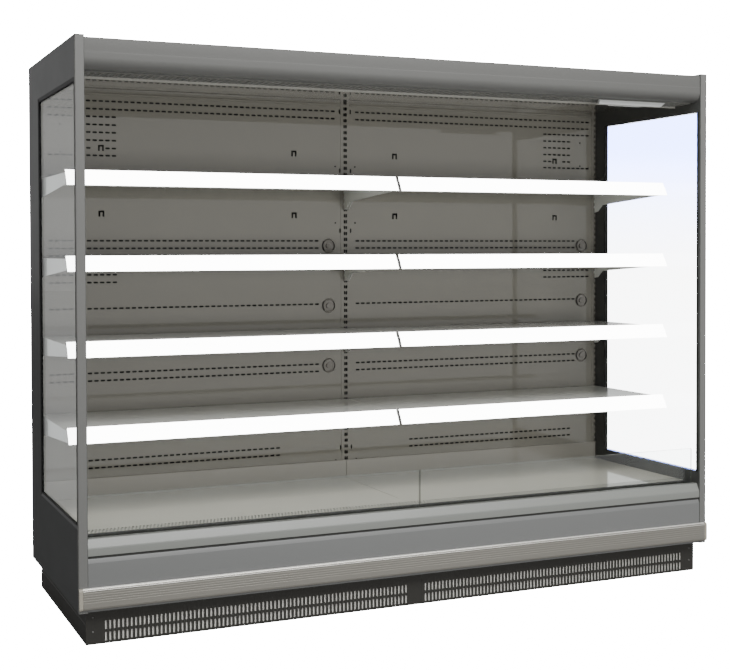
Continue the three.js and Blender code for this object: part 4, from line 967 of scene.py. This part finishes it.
# ---------------------------------------------------------------- price rails
RAIL_CAP = 3.6 * MM               # dark end cap where two rails meet
RAIL_BACK = 31.5 * MM             # the face's upper edge, behind its foot
RAIL_LEAN = 31 / 58               # forward for each unit down
RAIL_PROFILE = ((54.5, 1.6), (52, 2), (20.2, 2), (18.2, -0.8), (1.2, 0), (0, -0.8), (0, -2.4), (1, -3),
                (49, -3), (53, -7))       # (drop, proud of the leaning face), in mm
RAIL_FOOT = (55, -7)
CAP_PROFILE = ((51, 0.4), (22, 0.4), (3, -1.4), (3, -2.8), (49, -2.8))


def dress_rails():
    """The rail's outline is the solid's own, with rounded edges, a fine ledge and a rolled foot. A point is
    drop below the top, and RAIL_LEAN * drop + proud in front of the face's upper edge."""
    for name, side in SIDES:
        for tier in range(1, 5):
            low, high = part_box(f"price_rail_{name}_{tier}")

            def section(profile):
                """The (y, z) points of a (drop, proud) profile."""
                drop, proud = np.array(profile).T * MM
                return np.stack([low.y + RAIL_BACK - RAIL_LEAN * drop - proud, high.z - drop], 1)
            rides = {"body": f"shelf_{name}_{tier}", "slot": "rail_white"}
            ends = [low.x, high.x]
            inner = 1 if side < 0 else 0
            ends[inner] += side * RAIL_CAP
            outline = np.concatenate([rounded(section(RAIL_PROFILE), 0.8 * MM, 4), section([RAIL_FOOT])])
            rail = along_x(f"label_rail_{name}_{tier}", outline, *ends, "rail", **rides)
            cap_ends = sorted([ends[inner], ends[inner] - side * RAIL_CAP])
            cap = along_x(f"rail_cap_{name}_{tier}", section(CAP_PROFILE), *cap_ends, "black_plastic",
                          **rides)
            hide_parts(f"price_rail_{name}_{tier}")
            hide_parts(f"price_rail_{name}_{tier}")


# ---------------------------------------------------------------- deck, intake and risers
TROUGH_REAR = 66 * MM             # the trough's rear wall, behind the intake's front
TROUGH_DEEP = 16 * MM
STRIP_BAND, STRIP_ROWS = 57 * MM, 3
STRIP_THICK = 0.6 * MM
STRIP_PITCH = 6.4 * MM
STRIP_HOLE = (2.7 * MM, 8.4 * MM)
# The black sheet under the perforated strip is painted shade for the dark duct seen through its holes.
SHADE_SHEET_DROP, SHADE_SHEET_THICK = 4 * MM, 1 * MM
CUT_FACES = (0, 1, 5)             # of a riser: both ends and the top edge, which show the cut glass, its edge tint and a painted sheen


def dress_deck():
    """Perforated strip over the returning air, with a hole in every other cell of its rows, a black sheet under
    it as painted shade for the dark duct seen through the holes, and the dark trough in front of it that the
    glass stands in."""
    low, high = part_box("air_intake")
    top = high.z
    trough_rear = low.y + TROUGH_REAR
    columns = int((high.x - low.x) / STRIP_PITCH)
    row_edges = trough_rear + STRIP_BAND / STRIP_ROWS * np.arange(STRIP_ROWS + 1)
    sheet = SheetMaker(np.linspace(low.x, high.x, columns + 1),
                       np.concatenate([[trough_rear - SHEET], row_edges, [high.y]]))
    cells_u, cells_v = np.meshgrid(np.arange(1, columns - 1), np.arange(1, STRIP_ROWS + 1), indexing="ij")
    staggered = (cells_u + cells_v) % 2 == 0
    sheet.many(cells_u[staggered], cells_v[staggered], slot_chains(*STRIP_HOLE, 3))
    flat, faces = sheet.finish()
    points = np.stack([flat[:, 0], flat[:, 1], np.full(len(flat), top)], 1)
    plate = add_mesh("intake_strip", points, faces, "deck", slot="deck_beige")
    thicken(plate, STRIP_THICK)
    under = top - SHADE_SHEET_DROP
    # A black sheet of painted shade under the holes.
    shade_sheet = softened_box("intake_shade_sheet", (low.x, trough_rear, under),
                          (high.x, trough_rear + STRIP_BAND, under + SHADE_SHEET_THICK), "black_plastic", 0.3 * MM,
                          slot="deck_beige")
    line = [(trough_rear - SHEET, top - 0.2 * MM), (trough_rear - SHEET, top - TROUGH_DEEP),
            (low.y + SHEET, top - TROUGH_DEEP), (low.y + SHEET, top)]
    trough = along_x("glass_trough", folded(rounded(line, 1 * MM, 3), SHEET), low.x, high.x, "trough",
                     slot="deck_beige")
    line = [(high.y - SHEET, top - SHEET), (high.y, top - SHEET), (high.y, low.z), (high.y - SHEET, low.z)]
    fold = along_x("intake_fold", line, low.x, high.x, "deck", slot="deck_beige")
    for piece in (plate, shade_sheet, trough, fold):
        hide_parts("air_intake")


def dress_risers():
    """Glass panes in the trough; their cut edges take an opaque grey, partly the glass's edge tint and partly a
    painted sheen.
    """
    for name, _ in SIDES:
        low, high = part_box(f"glass_riser_{name}")
        pane = softened_box(f"riser_pane_{name}", low, high, "riser", 0.7 * MM,
                            body=f"glass_riser_{name}", slot="riser_glass")
        pane.data.materials.append(FINISH["glass_edge_tint_and_sheen"])
        for number in CUT_FACES:
            pane.data.polygons[number].material_index = 1
        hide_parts(f"glass_riser_{name}")


# ---------------------------------------------------------------- front skins
NOSE_SHEET = 3 * MM
NOSE_DROP = 9 * MM                # the nose's top, below the solid's
NOSE_RISE = 3 * MM                # its foot, above the solid's
NOSE_CREST, CREST_DEEP, CREST_TURN = 16 * MM, 22 * MM, 8 * MM
SHOULDER_DROP = 37 * MM
FOOT_BACK = 27.3 * MM             # the foot's rear edge, in front of the solid's back
GAP_FRONT, GAP_BACK = 5 * MM, 9 * MM
GAP_LOW, GAP_HIGH = 0.2 * MM, 2 * MM      # above the panel, and up behind the nose's foot
PANEL_LEAN, PANEL_SHOULDER, PANEL_FOOT = 5 * MM, 14 * MM, 10 * MM


def dress_front():
    """Two folded sheets, the nose's profile above and the panel below, with a dark strip of painted shade in
    the gap between them.
    """
    low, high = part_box("front_nose")
    panel_low, panel_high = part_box("front_panel")
    top = high.z - NOSE_DROP
    foot = low.z + NOSE_RISE
    crest = low.y + NOSE_CREST
    shoulder = high.z - SHOULDER_DROP
    line = rounded([(crest + CREST_DEEP, top - CREST_TURN), (crest + CREST_DEEP, top), (crest, top),
                    (low.y + 1 * MM, shoulder), (low.y, shoulder - 4 * MM), (low.y, foot),
                    (high.y - FOOT_BACK, foot)],
                   np.array([0, 1, 3.5, 2, 2, 1, 0]) * MM, 6)
    nose = along_x("nose_skin", folded(line, NOSE_SHEET), low.x, high.x, "nose", slot="grey_trim")
    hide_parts("front_nose")
    gap = softened_box("nose_gap", (low.x, low.y + GAP_FRONT, panel_high.z + GAP_LOW),
                       (high.x, low.y + GAP_BACK, foot + GAP_HIGH), "gap", slot="grey_trim")
    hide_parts("front_nose")
    low, high = panel_low, panel_high
    line = rounded([(high.y, high.z), (low.y + PANEL_LEAN, high.z), (low.y, high.z - PANEL_SHOULDER),
                    (low.y, low.z), (low.y + PANEL_FOOT, low.z)], np.array([0, 1, 1, 1, 0]) * MM, 4)
    panel = along_x("front_skin", folded(line, SHEET), low.x, high.x, "panel", slot="grey_trim")
    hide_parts("front_panel")


# ---------------------------------------------------------------- bumper
BUMPER_RADIUS = 8 * MM
BUMPER_STAND = 1 * MM             # how far the ribbed front stands before the round edges, and away from them
GROOVES = (14, 22.25, 30.5, 38.75, 47)    # heights of the grooves' middles, down from the top, in mm
GROOVE_HALF = 1.9                 # half width of a groove, in mm
GROOVE_DEEP, PLAIN_STAND = 0.6, 0.6       # depth of a groove, and how far the caps stand, in BUMPER_STAND
BUMPER_STEPS = 90


def bumper_outline(low, high, ribbed):
    """Flat back, a quarter circle at the top and the foot, and a front that stands BUMPER_STAND before them,
    less GROOVE_DEEP * w, where w rises in a straight line to 1 in the middle of each groove."""
    front = low.y + BUMPER_STAND

    def quarter(start, middle):
        """A quarter circle that begins at an angle, about a middle height."""
        turn = np.linspace(start, start + math.pi / 2, 9)
        return np.stack([front + BUMPER_RADIUS * (1 + np.cos(turn)),
                         middle + BUMPER_RADIUS * np.sin(turn)], 1)

    straight = BUMPER_RADIUS + BUMPER_STAND
    heights = np.linspace(high.z - straight, low.z + straight, BUMPER_STEPS)
    down = (high.z - heights) / MM
    groove = np.max([np.clip(1 - np.abs(down - middle) / GROOVE_HALF, 0, 1) for middle in GROOVES], 0)
    proud = 1 - GROOVE_DEEP * groove if ribbed else np.full(len(heights), PLAIN_STAND)
    face = np.stack([front - proud * BUMPER_STAND, heights], 1)
    back = [(high.y, low.z), (high.y, high.z)]
    return np.concatenate([back, quarter(math.pi / 2, high.z - BUMPER_RADIUS), face,
                           quarter(math.pi, low.z + BUMPER_RADIUS)])[::-1]


def dress_bumper():
    """Rounded bar with five fine grooves, and plain rounded ends on the caps."""
    low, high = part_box("bumper_rail")
    rail = along_x("bumper_bar", bumper_outline(low, high, True), low.x, high.x, "bumper",
                   slot="bumper_metal")
    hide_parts("bumper_rail")
    for name, _ in SIDES:
        cap_low, cap_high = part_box(f"bumper_cap_{name}")
        cap = along_x(f"bumper_end_{name}", bumper_outline(low, high, False), cap_low.x, cap_high.x,
                      "bumper_cap", slot="bumper_plastic")
        soften(cap, 3 * MM, 3, 60)
        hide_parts(f"bumper_cap_{name}")


# ---------------------------------------------------------------- plinth
# The pale backing sheet of painted light behind the kick plates' slots:
BACKING_FROM, BACKING_END = 8 * MM, 58 * MM       # from the middle, and short of the plate's outer end
BACKING_FRONT, BACKING_BACK = 6 * MM, 11 * MM
BACKING_LOW, BACKING_HIGH = 8 * MM, 86 * MM
SCREW_HEIGHTS = (45.5, 95)
SCREW_PLACE = 23 * MM             # from the plate's outer end
SCREW_RADIUS = 3.2 * MM           # the unit of the profile
SCREW_PROFILE = ((1, 0), (0.98, 0.25), (0.8, 0.45), (0.45, 0.55), (0.42, 0.2), (0.05, 0.18))


def dress_plinth():
    """A pale sheet of painted light behind each kick plate's slots, and two low domed screws at its outer end.
    """
    for name, side in SIDES:
        low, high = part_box(f"kick_plate_{name}")
        end = max(abs(low.x), abs(high.x))
        near, far = sorted((side * BACKING_FROM, side * (end - BACKING_END)))
        softened_box(f"pale_backing_painted_light_{name}", (near, low.y + BACKING_FRONT, BACKING_LOW),
                     (far, low.y + BACKING_BACK, BACKING_HIGH), "pale_backing", slot="galvanised")
        for number, height in enumerate(SCREW_HEIGHTS, 1):
            turned(f"plinth_screw_{name}_{number}", np.array(SCREW_PROFILE) * SCREW_RADIUS,
                   (side * (end - SCREW_PLACE), low.y, height * MM), FORWARD, "screw", 16, slot="galvanised")


# ---------------------------------------------------------------- finishes of the CAD nodes
NODE_FINISH = {
    "end_wall_left": "wall_left", "end_wall_right": "wall_right", "front_post_left": "post_left",
    "front_post_right": "post_right", "end_glass": "pane", "tub": "skin", "back_wall": "duct",
    "roof_panel": "skin", "canopy": "canopy", "air_outlet": "black_plastic", "ceiling_panel": "ceiling",
    "light_bar": "lens", "upright": "liner", "rear_panel": "liner", "shelf": "shelf", "price_rail": "rail",
    "air_intake": "deck", "deck_tray": "deck", "glass_riser": "riser", "front_nose": "nose",
    "front_panel": "panel", "bumper_rail": "bumper", "bumper_cap": "bumper_cap", "kick_plate": "plinth",
    "plinth_side": "plinth", "base_frame": "zinc", "foot": "black_metal", "evaporator_fan": "black_plastic",
    "evaporator": "aluminium", "fan_plate": "zinc", "condenser_fan": "black_plastic",
    "condenser": "aluminium", "compressor": "black_metal",
}


def dress_nodes():
    """Every CAD node takes the finish of the longest key that its name starts with."""
    for name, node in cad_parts.items():
        key = max((start for start in NODE_FINISH if name.startswith(start)), key=len)
        node.data.materials.clear()
        node.data.materials.append(FINISH[NODE_FINISH[key]])


set_camera()
set_light()
lay_floor()
dress_nodes()
dress_rear()
dress_uprights()
dress_canopy()
dress_outlet()
dress_lamp()
dress_ends()
dress_rails()
dress_deck()
dress_risers()
dress_front()
dress_bumper()
dress_plinth()
